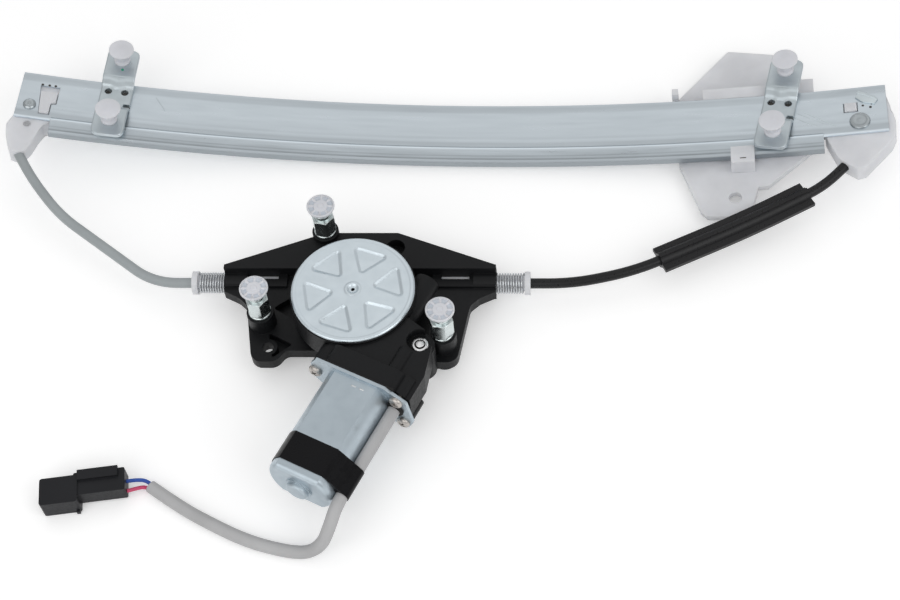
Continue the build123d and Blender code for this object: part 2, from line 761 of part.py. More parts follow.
with BuildPart() as drum_housing:
    with BuildSketch(unit_plane(deck_under)) as plan:
        Polygon(*mirrored(plan_half), align=None)
        fillet(plan.vertices().filter_by(lambda v: 50 < abs(v.X) < 60), waist_round)
        fillet(plan.vertices().filter_by(lambda v: v.Y < -26), foot_round)
        fillet(plan.vertices().filter_by(lambda v: v.Y < -20 and 30 < abs(v.X) < 33), crotch_round)
    extrude(amount=low_deck - deck_under)
    with BuildSketch(unit_plane(deck_under)):
        Polygon(*mirrored(((0, shoulder[1]), shoulder, arm_tip, (arm_half, step_y), (0, step_y))),
                align=None)
    extrude(amount=high_deck - deck_under)
    with BuildSketch(unit_plane(floor_t)):
        with Locations(*stud_places):
            Circle(boss_r)
    extrude(amount=stud_seat - floor_t, taper=1)
    with BuildSketch(unit_plane(0)):
        Circle(collar_r)
    extrude(amount=bowl_floor)
    with BuildSketch(unit_plane(deck_under)):
        with Locations(lug_place):
            Circle(boss_r)
    extrude(amount=lug_seat - deck_under)
    for side in (-1, 1):
        end = Plane(cable_line.from_local_coords((side * arm_half, cable_r, 0)),
                    z_dir=cable_line.x_dir * -side)
        with BuildSketch(end):
            Circle(spring_d / 2 + tube_wall)
        extrude(amount=spring_seat + 2)
        with BuildSketch(end):
            Rectangle(2 * (ferrule_r + tube_wall), 2 * (ferrule_r + tube_wall))
        extrude(amount=arm_half - ferrule_in + 3)
    with BuildSketch(unit_plane(floor_t)):
        Circle(drum_rim + running_gap)
    extrude(amount=high_deck, mode=Mode.SUBTRACT)
    with BuildSketch(unit_plane(bowl_floor)):
        Circle(bowl_r + 0.6)
    extrude(amount=high_deck, mode=Mode.SUBTRACT)
    for side in (-1, 1):
        end = Plane(cable_line.from_local_coords((side * arm_half, cable_r, 0)),
                    z_dir=cable_line.x_dir * -side)
        with BuildSketch(end):
            Circle(spring_d / 2 + 0.1)
        extrude(amount=spring_seat, mode=Mode.SUBTRACT)
        with BuildSketch(end):
            Circle(ferrule_r + 0.1)
        extrude(amount=arm_half - ferrule_in + 1.0, mode=Mode.SUBTRACT)
        with BuildSketch(end):
            Circle(cable_bore / 2)
        extrude(amount=arm_half, mode=Mode.SUBTRACT)
        with BuildSketch(unit_plane(cable_z)):
            with Locations((side * (slot_in + slot_out) / 2, cable_r)):
                Rectangle(slot_out - slot_in, cable_bore)
        extrude(amount=high_deck, mode=Mode.SUBTRACT)
    with BuildSketch(unit_plane(deck_under + pocket_floor)):
        add(flat_shape(side_pocket, 1.0))
        add(flat_shape(foot_pocket, 0.8))
        with Locations(foot_hole):
            Circle(foot_bore / 2 + 1.8, mode=Mode.SUBTRACT)
    extrude(amount=low_deck, mode=Mode.SUBTRACT)
    with BuildSketch(unit_plane(deck_under)):
        add(flat_shape(under_pocket, 1.5))
        add(flat_shape([(-x, y) for x, y in reversed(under_pocket)], 1.5))
    extrude(amount=high_deck - deck_under - pocket_floor, mode=Mode.SUBTRACT)
    with BuildSketch(unit_plane(low_deck + pocket_floor)):
        with Locations(back_hole):
            Circle(cap_gap)
    extrude(amount=high_deck, mode=Mode.SUBTRACT)
    with BuildSketch(unit_plane(0)):
        with Locations(*stud_places):
            Circle(shank_r + 0.05)
        with Locations(foot_hole, back_hole):
            Circle(foot_bore / 2)
        with Locations(lug_place):
            Circle(lug_bolt_r + 0.05)
        Circle(spindle_r)
    extrude(amount=high_deck + 10, mode=Mode.SUBTRACT)
save(drum_housing, "drum_housing")

with BuildPart() as standoffs:
    with BuildSketch(unit_plane(stud_seat)):
        with Locations(*stud_places):
            Circle(hex_flats / 2 + 0.4)
    extrude(amount=1.2)
    with BuildSketch(unit_plane(stud_seat + 1.2)):
        with Locations(*stud_places):
            RegularPolygon(hex_flats / 2, 6, major_radius=False)
    extrude(amount=stud_top - stud_seat - 1.2)
    with BuildSketch(unit_plane(floor_t)):
        with Locations(*stud_places):
            Circle(shank_r)
    extrude(amount=stud_seat - floor_t)
    with BuildSketch(unit_plane(stud_top)):
        with Locations(*stud_places):
            Circle(stud_d / 2)
    extrude(amount=-14, mode=Mode.SUBTRACT)
save(standoffs, "standoffs")

with BuildPart() as stud_plugs:
    with BuildSketch(unit_plane(stud_top - 9)):
        with Locations(*stud_places):
            Circle(stud_d / 2 - 0.05)
    extrude(amount=9)
    with BuildSketch(unit_plane(stud_top)):
        with Locations(*stud_places):
            Circle(3.5)
    extrude(amount=3.6)
    with BuildSketch(unit_plane(stud_top + 3.6)):
        with Locations(*stud_places):
            Circle(plug_cap_d / 2)
    extrude(amount=1.2)
    with BuildSketch(unit_plane(stud_top + 4.8)):
        with Locations(*stud_places):
            Circle(plug_cap_d / 2)
    extrude(amount=1.2, taper=50)
save(stud_plugs, "stud_plugs")

# ================================================================ drum and wheel
hub_r = 6.4
socket_z = 13.0
wheel_low = worm_z - wheel_face / 2
plate_z = 32.0
turning_bore = spindle_r + 0.2

with BuildPart() as spindle:
    with BuildSketch(unit_plane(0.4)):
        Circle(spindle_r)
    extrude(amount=bowl_top - cover_press - 0.4 - 0.4)
    chamfer(spindle.edges().group_by(Axis.Z)[-1], 0.6)
save(spindle, "spindle")

with BuildPart() as cable_drum:
    with BuildSketch(Plane(unit_plane(0).origin, x_dir=unit_plane(0).x_dir,
                           z_dir=-unit_plane(0).y_dir)):
        with BuildLine():
            Polyline(
                (turning_bore, drum_bottom), (drum_rim, drum_bottom), (drum_rim, drum_bottom + 1.6),
                (cable_r - cable_d / 2 - 0.05, drum_bottom + 2.6),
                (cable_r - cable_d / 2 - 0.05, drum_top - 2.6), (drum_rim, drum_top - 1.6),
                (drum_rim, drum_top), (hub_r + 0.1, drum_top), (hub_r + 0.1, socket_z),
                (turning_bore, socket_z), close=True,
            )
        make_face()
    revolve(axis=Axis(unit_plane(0).origin, (0, 0, 1)))
save(cable_drum, "cable_drum")

with BuildPart() as cable_turns:
    for i in range(cable_wraps):
        z = cable_z + (i - (cable_wraps - 1) / 2) * wrap_pitch
        with BuildSketch(Plane(unit_plane(z).origin, x_dir=unit_plane(0).x_dir,
                               z_dir=-unit_plane(0).y_dir)):
            with Locations((cable_r, 0)):
                Circle(cable_d / 2)
        revolve(axis=Axis(unit_plane(0).origin, (0, 0, 1)))
save(cable_turns, "cable_turns")

with BuildPart() as drive_plate:
    with BuildSketch(unit_plane(socket_z + 0.1)):
        Circle(hub_r)
    extrude(amount=plate_z - socket_z - 0.1)
    with BuildSketch(unit_plane(plate_z)):
        Circle(damper_r)
    extrude(amount=1.4)
    with BuildSketch(unit_plane(0)):
        Circle(turning_bore)
    extrude(amount=bowl_top, mode=Mode.SUBTRACT)
save(drive_plate, "drive_plate")

with BuildPart() as worm_wheel:
    with BuildSketch(unit_plane(wheel_low)):
        Circle(wheel_r)
        with PolarLocations(wheel_r, wheel_teeth):
            Polygon((tooth_gap, -tooth_gap / 2 - 0.3), (tooth_gap, tooth_gap / 2 + 0.3),
                    (-tooth_depth, tooth_gap / 4), (-tooth_depth, -tooth_gap / 4),
                    align=None, mode=Mode.SUBTRACT)
    extrude(amount=wheel_face)
    with BuildSketch(unit_plane(wheel_low + 2.0)):
        Circle(damper_r + 0.2)
        Circle(hub_r + 3.0, mode=Mode.SUBTRACT)
    extrude(amount=wheel_face, mode=Mode.SUBTRACT)
    with BuildSketch(unit_plane(wheel_low)):
        Circle(hub_r + 0.1)
    extrude(amount=wheel_face, mode=Mode.SUBTRACT)
save(worm_wheel, "worm_wheel")

with BuildPart() as rubber_damper:
    with BuildSketch(unit_plane(wheel_low + 2.0)):
        Circle(damper_r)
        Circle(hub_r + 3.2, mode=Mode.SUBTRACT)
    extrude(amount=plate_z - wheel_low - 2.0)
save(rubber_damper, "rubber_damper")

# ================================================================ gear housing
flat = unit_plane(0, -motor_turn)
screw_places = ((4.0 - worm_offset, 4.0), (46.0 - worm_offset, 7.0), (48.5 - worm_offset, -9.0))
neck_plan = (
    (4.0, -neck_u), (4.0, -26.0), (12.0, -14.0), (24.0, 0.0), (40.0, -4.0), (46.8, -10.0),
    (51.5, -26.0), (51.5, -neck_u),
)


ridge_start = 17.0         # a round ridge over the brush leads, along the motor
ridge_end = 30.0
ridge_n = 11.7             # beside the worm's axis
ridge_r = 3.8


def flat_plane(height):
    """Horizontal plane at the wheel's axis with its y axis along the motor, away from it."""
    return unit_plane(height, -motor_turn)


with BuildPart() as gear_housing:
    with BuildSketch(flat_plane(bowl_floor)):
        Circle(bowl_r)
    extrude(amount=bowl_top - bowl_floor)
    with BuildSketch(flat_plane(bowl_floor)):
        with BuildLine():
            Polyline(*neck_plan, close=True)
        make_face()
    extrude(amount=neck_top - bowl_floor)
    with BuildSketch(motor_plane(neck_u)):
        with Locations((0, -1.0)):
            RectangleRounded(2 * can_r + 6, 2 * can_half + 2, 5)
    extrude(amount=-10)
    with BuildSketch(motor_plane(neck_u)):
        with Locations(*screw_places):
            Circle(3.6)
    extrude(amount=-10)
    with BuildSketch(motor_plane(tunnel_end + 2)):
        Circle(tunnel_r)
    extrude(amount=neck_u - tunnel_end - 4)
    with BuildSketch(motor_plane(ridge_start)):
        with Locations((ridge_n, neck_top - worm_z - 1.8)):
            Circle(ridge_r)
    extrude(amount=ridge_end - ridge_start)
    with BuildSketch(flat_plane(lug_seat)):
        with Locations(tuple(flat.to_local_coords(unit_plane(0).from_local_coords(
                (lug_place[0], lug_place[1], 0))))[:2]):
            Circle(boss_r)
    extrude(amount=lug_top - lug_seat)
    with BuildSketch(unit_plane(lug_top)):
        with Locations(lug_place):
            Circle(boss_r - 0.8)
    extrude(amount=bowl_top, mode=Mode.SUBTRACT)
    with BuildSketch(unit_plane(bowl_floor - 1)):
        with Locations(*stud_places):
            Circle(boss_r + running_gap)
    extrude(amount=bowl_top, mode=Mode.SUBTRACT)
    with BuildSketch(flat_plane(bowl_floor + 1.6)):
        Circle(bowl_r - bowl_wall)
    extrude(amount=bowl_top, mode=Mode.SUBTRACT)
    with BuildSketch(flat_plane(bowl_floor)):
        Circle(hub_r + 1.0)
    extrude(amount=5, mode=Mode.SUBTRACT)
    with BuildSketch(motor_plane(tunnel_end + 4)):
        Circle(bearing_r + 0.05)
    extrude(amount=neck_u - tunnel_end, mode=Mode.SUBTRACT)
    with BuildSketch(motor_plane(neck_u)):
        Rectangle(2 * can_r - 6, 2 * can_half - 4)
    extrude(amount=-8, mode=Mode.SUBTRACT)
    with BuildSketch(motor_plane(neck_u)):
        with Locations(*screw_places):
            Circle(screw_r)
        with Locations((lead_side, 0)):
            Circle(lead_d / 2 + 0.05)
    extrude(amount=-8, mode=Mode.SUBTRACT)
    with BuildSketch(unit_plane(0)):
        with Locations(lug_place):
            Circle(lug_bolt_r + 0.05)
    extrude(amount=bowl_top + 5, mode=Mode.SUBTRACT)
save(gear_housing, "gear_housing")

def cover_forms(shrink):
    """The six rounded triangles and the centre ring pressed into the gear cover."""
    with BuildSketch(mode=Mode.PRIVATE) as forms:
        with PolarLocations(0, 6, start_angle=form_angle):
            Polygon((form_in + 2 * shrink, 0), (form_out - shrink, -form_half + 1.6 * shrink),
                    (form_out - shrink, form_half - 1.6 * shrink), align=None)
        fillet(forms.vertices(), form_round - shrink)
    return forms.sketch


form_angle = 2.0           # degrees
form_in = 8.2              # inner point of each form, from the cover's centre
form_out = 23.2
form_half = 8.0
form_round = 2.2
dimple_r = 3.4
cover_bore_r = 1.3
cover_top = bowl_top + 0.05 + cover_t

with BuildPart() as gear_cover:
    with BuildSketch(unit_plane(bowl_top + 0.05)):
        Circle(cover_r)
    extrude(amount=cover_t)
    fillet(gear_cover.edges().group_by(Axis.Z)[-1], 0.9)
    with BuildSketch(unit_plane(bowl_top + 0.05)):
        add(cover_forms(-0.1))
        Circle(dimple_r + 0.6)
    extrude(amount=-cover_press)
    with BuildSketch(unit_plane(cover_top)):
        add(cover_forms(0.5))
    extrude(amount=-cover_press, mode=Mode.SUBTRACT)
    with BuildSketch(unit_plane(cover_top)):
        Circle(dimple_r)
    extrude(amount=-cover_press, taper=35, mode=Mode.SUBTRACT)
    with BuildSketch(unit_plane(cover_top)):
        Circle(cover_bore_r)
    extrude(amount=-cover_t - cover_press, mode=Mode.SUBTRACT)
save(gear_cover, "gear_cover")

with BuildPart() as lug_bolt:
    with BuildSketch(unit_plane(2.0)):
        with Locations(lug_place):
            Circle(lug_bolt_r)
    extrude(amount=lug_top + 1.0 - 2.0)
    with BuildSketch(unit_plane(lug_top)):
        with Locations(lug_place):
            Circle(3.7)
    extrude(amount=2.2)
save(lug_bolt, "lug_bolt")

# ================================================================ motor
def can_section(shrink):
    """Round section with two flats, drawn this much inside the can's outer face."""
    with BuildSketch(mode=Mode.PRIVATE) as section:
        Circle(can_r - shrink)
        Rectangle(2 * can_r + 2, 2 * (can_half - shrink), mode=Mode.INTERSECT)
    return section.sketch


flange_outline = (
    (-24.0, -2.0), (-24.0, 8.5), (-21.0, 13.5), (14.0, 13.5), (25.0, 8.0), (27.6, -7.0),
    (25.0, -13.0), (-12.0, -13.0),
)

with BuildPart() as motor_can:
    with BuildSketch(motor_plane(flange_u)):
        with BuildLine():
            Polyline(*flange_outline, close=True)
        make_face()
    extrude(amount=flange_t)
    with BuildSketch(motor_plane(flange_u)):
        add(can_section(0))
    extrude(amount=can_end - flange_u)
    fillet(motor_can.edges().filter_by_position(
        Axis(motor_plane(0).origin, motor_plane(0).z_dir), can_end - 0.5, can_end + 0.5), 2.5)
    with BuildSketch(motor_plane(can_end)):
        Circle(rear_boss_r + 1.0)
    extrude(amount=0.8)
    with BuildSketch(motor_plane(can_end)):
        Circle(rear_boss_r)
    extrude(amount=rear_boss)
    fillet(motor_can.edges().filter_by_position(
        Axis(motor_plane(0).origin, motor_plane(0).z_dir),
        can_end + rear_boss - 0.1, can_end + rear_boss + 0.1), 1.2)
    with BuildSketch(motor_plane(flange_u)):
        add(can_section(can_wall))
    extrude(amount=can_end - flange_u - can_wall, mode=Mode.SUBTRACT)
    with BuildSketch(motor_plane(can_end - can_wall - 1)):
        Circle(shaft_r + 0.5)
    extrude(amount=can_wall + rear_boss - 0.4, mode=Mode.SUBTRACT)
    with BuildSketch(motor_plane(flange_u - 1)):
        with Locations(*screw_places):
            Circle(screw_r + 0.2)
        with Locations((lead_side, 0)):
            Circle(lead_d / 2 + 0.1)
    extrude(amount=flange_t + 1.2, mode=Mode.SUBTRACT)
save(motor_can, "motor_can")

with BuildPart() as flange_gasket:
    with BuildSketch(motor_plane(neck_u)):
        Rectangle(2 * can_r + 4, 2 * can_half + 2)
        Rectangle(2 * can_r - 6, 2 * can_half - 4, mode=Mode.SUBTRACT)
        with Locations(*screw_places):
            Circle(screw_r + 0.2, mode=Mode.SUBTRACT)
        with Locations((lead_side, 0)):
            Circle(lead_d / 2 + 0.1, mode=Mode.SUBTRACT)
    extrude(amount=flange_u - neck_u)
save(flange_gasket, "flange_gasket")

with BuildPart() as motor_screws:
    with BuildSketch(motor_plane(flange_u + flange_t)):
        with Locations(*screw_places):
            Circle(3.3)
    extrude(amount=2.2)
    with BuildSketch(motor_plane(flange_u + flange_t)):
        with Locations(*screw_places):
            Circle(screw_r - 0.05)
    extrude(amount=-8)
save(motor_screws, "motor_screws")

with BuildPart() as motor_magnets:
    with BuildSketch(motor_plane(magnet_start)):
        Circle(can_r - can_wall - 0.1)
        Circle(magnet_r, mode=Mode.SUBTRACT)
        Rectangle(2 * can_r, 2 * (can_half - can_wall) - 3, mode=Mode.INTERSECT)
    extrude(amount=magnet_end - magnet_start)
save(motor_magnets, "motor_magnets")

with BuildPart() as armature_shaft:
    with BuildSketch(motor_plane(tunnel_end + 5)):
        Circle(shaft_r)
    extrude(amount=can_end - 1 - tunnel_end - 5)
    with BuildSketch(motor_plane(-worm_half)):
        Circle(worm_r)
    extrude(amount=2 * worm_half)
save(armature_shaft, "armature_shaft")

with BuildPart() as armature_core:
    with BuildSketch(motor_plane(core_start)):
        Circle(core_r)
        Circle(shaft_r, mode=Mode.SUBTRACT)
        with PolarLocations(core_r - 2.5, 8):
            Rectangle(6, 1.6, mode=Mode.SUBTRACT)
    extrude(amount=core_end - core_start)
save(armature_core, "armature_core")

with BuildPart() as armature_windings:
    for start, height in ((core_start - 4, 4), (core_end, 4)):
        with BuildSketch(motor_plane(start)):
            Circle(core_r - 1.2)
            Circle(shaft_r, mode=Mode.SUBTRACT)
        extrude(amount=height)
save(armature_windings, "armature_windings")

with BuildPart() as commutator:
    with BuildSketch(motor_plane(commutator_u)):
        Circle(commutator_r)
        Circle(shaft_r, mode=Mode.SUBTRACT)
    extrude(amount=7)
save(commutator, "commutator")

with BuildPart() as brush_card:
    with BuildSketch(motor_plane(commutator_u - 1.6)):
        Rectangle(2 * can_r - 7, 2 * can_half - 5)
        Circle(commutator_r + 1.0, mode=Mode.SUBTRACT)
    extrude(amount=1.4)
save(brush_card, "brush_card")

with BuildPart() as motor_brushes:
    with BuildSketch(motor_plane(commutator_u)):
        with Locations((commutator_r + 3.4, 0), (-commutator_r - 3.4, 0)):
            Rectangle(6, 3.2)
    extrude(amount=4)
save(motor_brushes, "motor_brushes")

with BuildPart() as shaft_bearings:
    for start in (tunnel_end + 6, 15.0):
        with BuildSketch(motor_plane(start)):
            Circle(bearing_r)
            Circle(shaft_r + 0.1, mode=Mode.SUBTRACT)
        extrude(amount=5)
    with BuildSketch(motor_plane(can_end - can_wall - 4)):
        Circle(bearing_r)
        Circle(shaft_r + 0.1, mode=Mode.SUBTRACT)
    extrude(amount=4)
save(shaft_bearings, "shaft_bearings")

with BuildPart() as tape_band:
    with BuildSketch(motor_plane(tape_start)) as wrap:
        add(can_section(-0.05 - tape_t))
        with Locations((lead_side, 0)):
            Circle(lead_d / 2 + 0.05 + tape_t)
        make_hull()
        add(can_section(-0.05), mode=Mode.SUBTRACT)
        with Locations((lead_side, 0)):
            Circle(lead_d / 2 + 0.05, mode=Mode.SUBTRACT)
    extrude(amount=tape_end - tape_start)
save(tape_band, "tape_band")

# ================================================================ lead
with BuildPart() as lead_sleeve_clamped:
    with BuildSketch(motor_plane(neck_u - 3)):
        with Locations((lead_side, 0)):
            Circle(lead_d / 2)
    extrude(amount=lead_split - neck_u + 3)
save(lead_sleeve_clamped, "lead_sleeve_clamped")


def make_cord(route, diameter, name):
    """Plain tube along a free cord's route."""
    with BuildPart() as cord:
        with BuildLine() as centre:
            route_line(route)
        with BuildSketch(Plane(centre.line @ 0, z_dir=centre.line % 0)):
            Circle(diameter / 2)
        sweep(path=centre.line)
    length = centre.wire().length
    print(name, "bends", [round(r, 1) for r in bend_radii(route)], "length", round(length, 1),
          "volume share", round(cord.part.volume / (length * pi * diameter ** 2 / 4), 4))
    return cord


save(make_cord(lead_route, lead_d, "lead_sleeve"), "lead_sleeve")
save(make_cord(blue_route, wire_d, "wire_blue"), "wire_blue")
save(make_cord(red_route, wire_d, "wire_red"), "wire_red")

plug_turn = radians(connector_turn)


def plug_plane(height):
    """Horizontal plane of the lead's connector, x towards its wires."""
    return Plane((connector_x, connector_y, height), x_dir=(cos(plug_turn), sin(plug_turn), 0),
                 z_dir=(0, 0, 1))


join_x = hood_len - (hood_len + body_len) / 2      # where the hood meets the rear body
hood_mid = -0.7
body_mid = 1.6
body_low = 1.9
floor_gap = 0.1

with BuildPart() as connector_housing:
    with BuildSketch(plug_plane(floor_gap)):
        with Locations((join_x - hood_len / 2, hood_mid)):
            RectangleRounded(hood_len, hood_w, 1.2)
    extrude(amount=hood_h)
    with BuildSketch(plug_plane(body_low)):
        with Locations((join_x + body_len / 2 - 1, body_mid)):
            RectangleRounded(body_len + 2, body_w, 0.8)
    extrude(amount=body_h)
    with BuildSketch(plug_plane(body_low + body_h)):
        with Locations((join_x + latch_len / 2, body_mid + body_w / 2 - latch_w / 2 + 0.6)):
            Rectangle(latch_len, latch_w)
    extrude(amount=latch_h)
    with BuildSketch(plug_plane(floor_gap)):
        with Locations((join_x - 1.4, hood_mid - hood_w / 2)):
            Rectangle(1.6, 2.0)
    extrude(amount=latch_h + 0.6)
    mouth = plug_plane(0)
    with BuildSketch(Plane(mouth.from_local_coords((join_x - hood_len, hood_mid,
                                                    floor_gap + hood_h / 2)),
                           x_dir=mouth.y_dir, z_dir=mouth.x_dir)):
        Rectangle(hood_w - 2 * hood_wall, hood_h - 2 * hood_wall)
    extrude(amount=mouth_depth, mode=Mode.SUBTRACT)
save(connector_housing, "connector_housing")

with BuildPart() as connector_terminals:
    mouth = plug_plane(floor_gap + hood_h / 2)
    with BuildSketch(Plane(mouth.from_local_coords((join_x - hood_len + mouth_depth, hood_mid, 0)),
                           x_dir=mouth.y_dir, z_dir=mouth.x_dir)):
        with Locations((-2.6, 0), (2.6, 0)):
            Rectangle(2.8, 0.8)
    extrude(amount=-9)
save(connector_terminals, "connector_terminals")
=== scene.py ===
import bpy
import bmesh
from math import asin, cos, hypot, pi, radians, sin
from mathutils import Matrix, Vector


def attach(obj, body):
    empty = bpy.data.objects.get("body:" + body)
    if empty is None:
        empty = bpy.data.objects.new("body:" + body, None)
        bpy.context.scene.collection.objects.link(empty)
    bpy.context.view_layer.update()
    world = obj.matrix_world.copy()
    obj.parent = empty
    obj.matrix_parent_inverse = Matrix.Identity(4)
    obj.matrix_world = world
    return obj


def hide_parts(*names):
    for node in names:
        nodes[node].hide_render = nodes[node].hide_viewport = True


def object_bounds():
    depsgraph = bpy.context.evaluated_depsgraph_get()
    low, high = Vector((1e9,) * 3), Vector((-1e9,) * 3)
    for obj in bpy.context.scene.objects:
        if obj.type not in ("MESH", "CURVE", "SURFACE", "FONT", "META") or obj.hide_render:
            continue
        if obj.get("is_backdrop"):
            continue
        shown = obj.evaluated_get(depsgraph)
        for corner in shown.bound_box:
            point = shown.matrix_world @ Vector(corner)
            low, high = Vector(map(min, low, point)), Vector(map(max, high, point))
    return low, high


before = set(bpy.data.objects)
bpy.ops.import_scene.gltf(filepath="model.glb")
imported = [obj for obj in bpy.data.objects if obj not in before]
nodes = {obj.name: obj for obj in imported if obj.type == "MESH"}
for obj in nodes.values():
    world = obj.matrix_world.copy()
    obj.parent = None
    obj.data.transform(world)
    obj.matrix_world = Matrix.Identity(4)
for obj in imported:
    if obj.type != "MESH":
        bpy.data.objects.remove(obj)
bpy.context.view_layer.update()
MM = 0.001


# ------------------------------------------------------------------ camera
# The view's angles, distance and focal length, fitted to the object's known sizes.
VIEW_TILT = radians(56.697)       # above the horizon
VIEW_TURN = radians(8.585)        # to the right of straight along +Y
VIEW_ROLL = radians(-5.72)
VIEW_DISTANCE = 0.80516
VIEW_TARGET = Vector((0.008344, -0.015761, 0.0))
LENS_MM = 66.127


def add_camera():
    """Camera at the photograph's viewing angle."""
    back = Vector((sin(VIEW_TURN) * cos(VIEW_TILT), -cos(VIEW_TURN) * cos(VIEW_TILT), sin(VIEW_TILT)))
    right = (-back).cross(Vector((0, 0, 1))).normalized()
    up = right.cross(-back)
    rolled_right = right * cos(VIEW_ROLL) + up * sin(VIEW_ROLL)
    rolled_up = up * cos(VIEW_ROLL) - right * sin(VIEW_ROLL)
    data = bpy.data.cameras.new("camera")
    data.sensor_width = 36.0
    data.sensor_fit = "HORIZONTAL"
    data.lens = LENS_MM
    data.clip_start = 0.01
    camera = bpy.data.objects.new("camera", data)
    bpy.context.scene.collection.objects.link(camera)
    place = Matrix((rolled_right, rolled_up, back)).transposed().to_4x4()
    place.translation = VIEW_TARGET + back * VIEW_DISTANCE
    camera.matrix_world = place
    bpy.context.scene.camera = camera


add_camera()


# ------------------------------------------------------------------ materials
def new_material(name, color, roughness, metallic=0.0):
    """Material with a Principled shader; returns it, its nodes and its shader."""
    material = bpy.data.materials.new(name)
    material.use_nodes = True
    tree = material.node_tree
    shader = tree.nodes["Principled BSDF"]
    shader.inputs["Base Color"].default_value = (*color, 1)
    shader.inputs["Roughness"].default_value = roughness
    shader.inputs["Metallic"].default_value = metallic
    return material, tree, shader


def object_noise(tree, scale, detail=3.0, stretch=(1, 1, 1)):
    """Noise fixed to the object's own coordinates."""
    place = tree.nodes.new("ShaderNodeTexCoord")
    mapping = tree.nodes.new("ShaderNodeMapping")
    mapping.inputs["Scale"].default_value = stretch
    texture = tree.nodes.new("ShaderNodeTexNoise")
    texture.inputs["Scale"].default_value = scale
    texture.inputs["Detail"].default_value = detail
    tree.links.new(place.outputs["Object"], mapping.inputs["Vector"])
    tree.links.new(mapping.outputs["Vector"], texture.inputs["Vector"])
    return texture.outputs["Fac"]


def ramp_color(tree, factor, low, high, low_at=0.35, high_at=0.65):
    """Colour that runs from one to another over a factor."""
    ramp = tree.nodes.new("ShaderNodeValToRGB")
    ramp.color_ramp.elements[0].position = low_at
    ramp.color_ramp.elements[0].color = (*low, 1)
    ramp.color_ramp.elements[1].position = high_at
    ramp.color_ramp.elements[1].color = (*high, 1)
    tree.links.new(factor, ramp.inputs["Fac"])
    return ramp.outputs["Color"]


def ramp_value(tree, factor, low, high):
    """Number that runs from one to another over a factor."""
    span = tree.nodes.new("ShaderNodeMapRange")
    span.inputs["From Min"].default_value = 0.3
    span.inputs["From Max"].default_value = 0.7
    span.inputs["To Min"].default_value = low
    span.inputs["To Max"].default_value = high
    tree.links.new(factor, span.inputs["Value"])
    return span.outputs["Result"]


EDGE_ROUND = 0.00035              # metres of worn edge that catch the light


def add_bump(tree, shader, heights, distance, strength=1.0):
    """Bump from a factor, over edges that look slightly rounded."""
    bump = tree.nodes.new("ShaderNodeBump")
    edges = tree.nodes.new("ShaderNodeBevel")
    edges.samples = 4
    edges.inputs["Radius"].default_value = EDGE_ROUND
    tree.links.new(edges.outputs["Normal"], bump.inputs["Normal"])
    bump.inputs["Strength"].default_value = strength
    bump.inputs["Distance"].default_value = distance
    tree.links.new(heights, bump.inputs["Height"])
    tree.links.new(bump.outputs["Normal"], shader.inputs["Normal"])


def scaled(color, share):
    """Colour made darker or lighter by a share."""
    return tuple(min(1.0, c * share) for c in color)


def set_greys(ramp, stops):
    """Stops of a colour ramp, from points of position and brightness."""
    elements = ramp.color_ramp.elements
    for index, (position, grey) in enumerate(stops):
        element = elements[index] if index < 2 else elements.new(position)
        element.position = position
        element.color = (grey, grey, grey, 1)


def painted_shade_across_y(tree, painted_light_bands):
    """Painted shade and highlight: grey that changes across Y, from points of Y in millimetres and
    share of brightness.
    """
    place = tree.nodes.new("ShaderNodeTexCoord")
    split = tree.nodes.new("ShaderNodeSeparateXYZ")
    span = tree.nodes.new("ShaderNodeMapRange")
    ramp = tree.nodes.new("ShaderNodeValToRGB")
    first, last = painted_light_bands[0][0], painted_light_bands[-1][0]
    span.inputs["From Min"].default_value = first * MM
    span.inputs["From Max"].default_value = last * MM
    set_greys(ramp, [((y - first) / (last - first), share) for y, share in painted_light_bands])
    tree.links.new(place.outputs["Object"], split.inputs["Vector"])
    tree.links.new(split.outputs["Y"], span.inputs["Value"])
    tree.links.new(span.outputs["Result"], ramp.inputs["Fac"])
    return ramp.outputs["Color"]


def multiplied(tree, first, second):
    """Two colours multiplied."""
    mix = tree.nodes.new("ShaderNodeMix")
    mix.data_type = "RGBA"
    mix.blend_type = "MULTIPLY"
    mix.inputs["Factor"].default_value = 1.0
    tree.links.new(first, mix.inputs[6])
    tree.links.new(second, mix.inputs[7])
    return mix.outputs[2]


def metal(name, color, roughness=0.38, streak=(1, 1, 1), grain=220.0, bump=0.00002, cloudy=0.05,
          painted_light_bands=()):
    """Plated steel: cloudy zinc, fine streaks along the rolling direction, small pits, and optional
    bands of painted shade and highlight across Y.
    """
    material, tree, shader = new_material(name, color, roughness, 1.0)
    cloud = object_noise(tree, 90.0, 4.0, streak)
    fine = object_noise(tree, grain, 5.0, streak)
    paint = ramp_color(tree, cloud, scaled(color, 1 - cloudy), scaled(color, 1 + cloudy))
    # bands of painted shade and highlight, multiplied into the colour
    if painted_light_bands:
        paint = multiplied(tree, paint, painted_shade_across_y(tree, painted_light_bands))
    tree.links.new(paint, shader.inputs["Base Color"])
    tree.links.new(ramp_value(tree, fine, roughness - 0.08, roughness + 0.12),
                   shader.inputs["Roughness"])
    add_bump(tree, shader, fine, bump, 0.6)
    return material


def plastic(name, color, roughness=0.45, grain=900.0, bump=0.00002, through=0.0, spread=0.004,
            gloss=0.5):
    """Moulded plastic with a fine grain; natural nylon lets some light through."""
    material, tree, shader = new_material(name, color, roughness)
    shader.inputs["Specular IOR Level"].default_value = gloss
    cloud = object_noise(tree, 55.0, 3.0)
    fine = object_noise(tree, grain, 2.0)
    tree.links.new(ramp_color(tree, cloud, scaled(color, 0.93), scaled(color, 1.04)),
                   shader.inputs["Base Color"])
    tree.links.new(ramp_value(tree, fine, roughness - 0.05, roughness + 0.1),
                   shader.inputs["Roughness"])
    add_bump(tree, shader, fine, bump, 0.5)
    if through:
        shader.inputs["Subsurface Weight"].default_value = through
        shader.inputs["Subsurface Radius"].default_value = (1.0, 0.95, 0.9)
        shader.inputs["Subsurface Scale"].default_value = spread
    return material
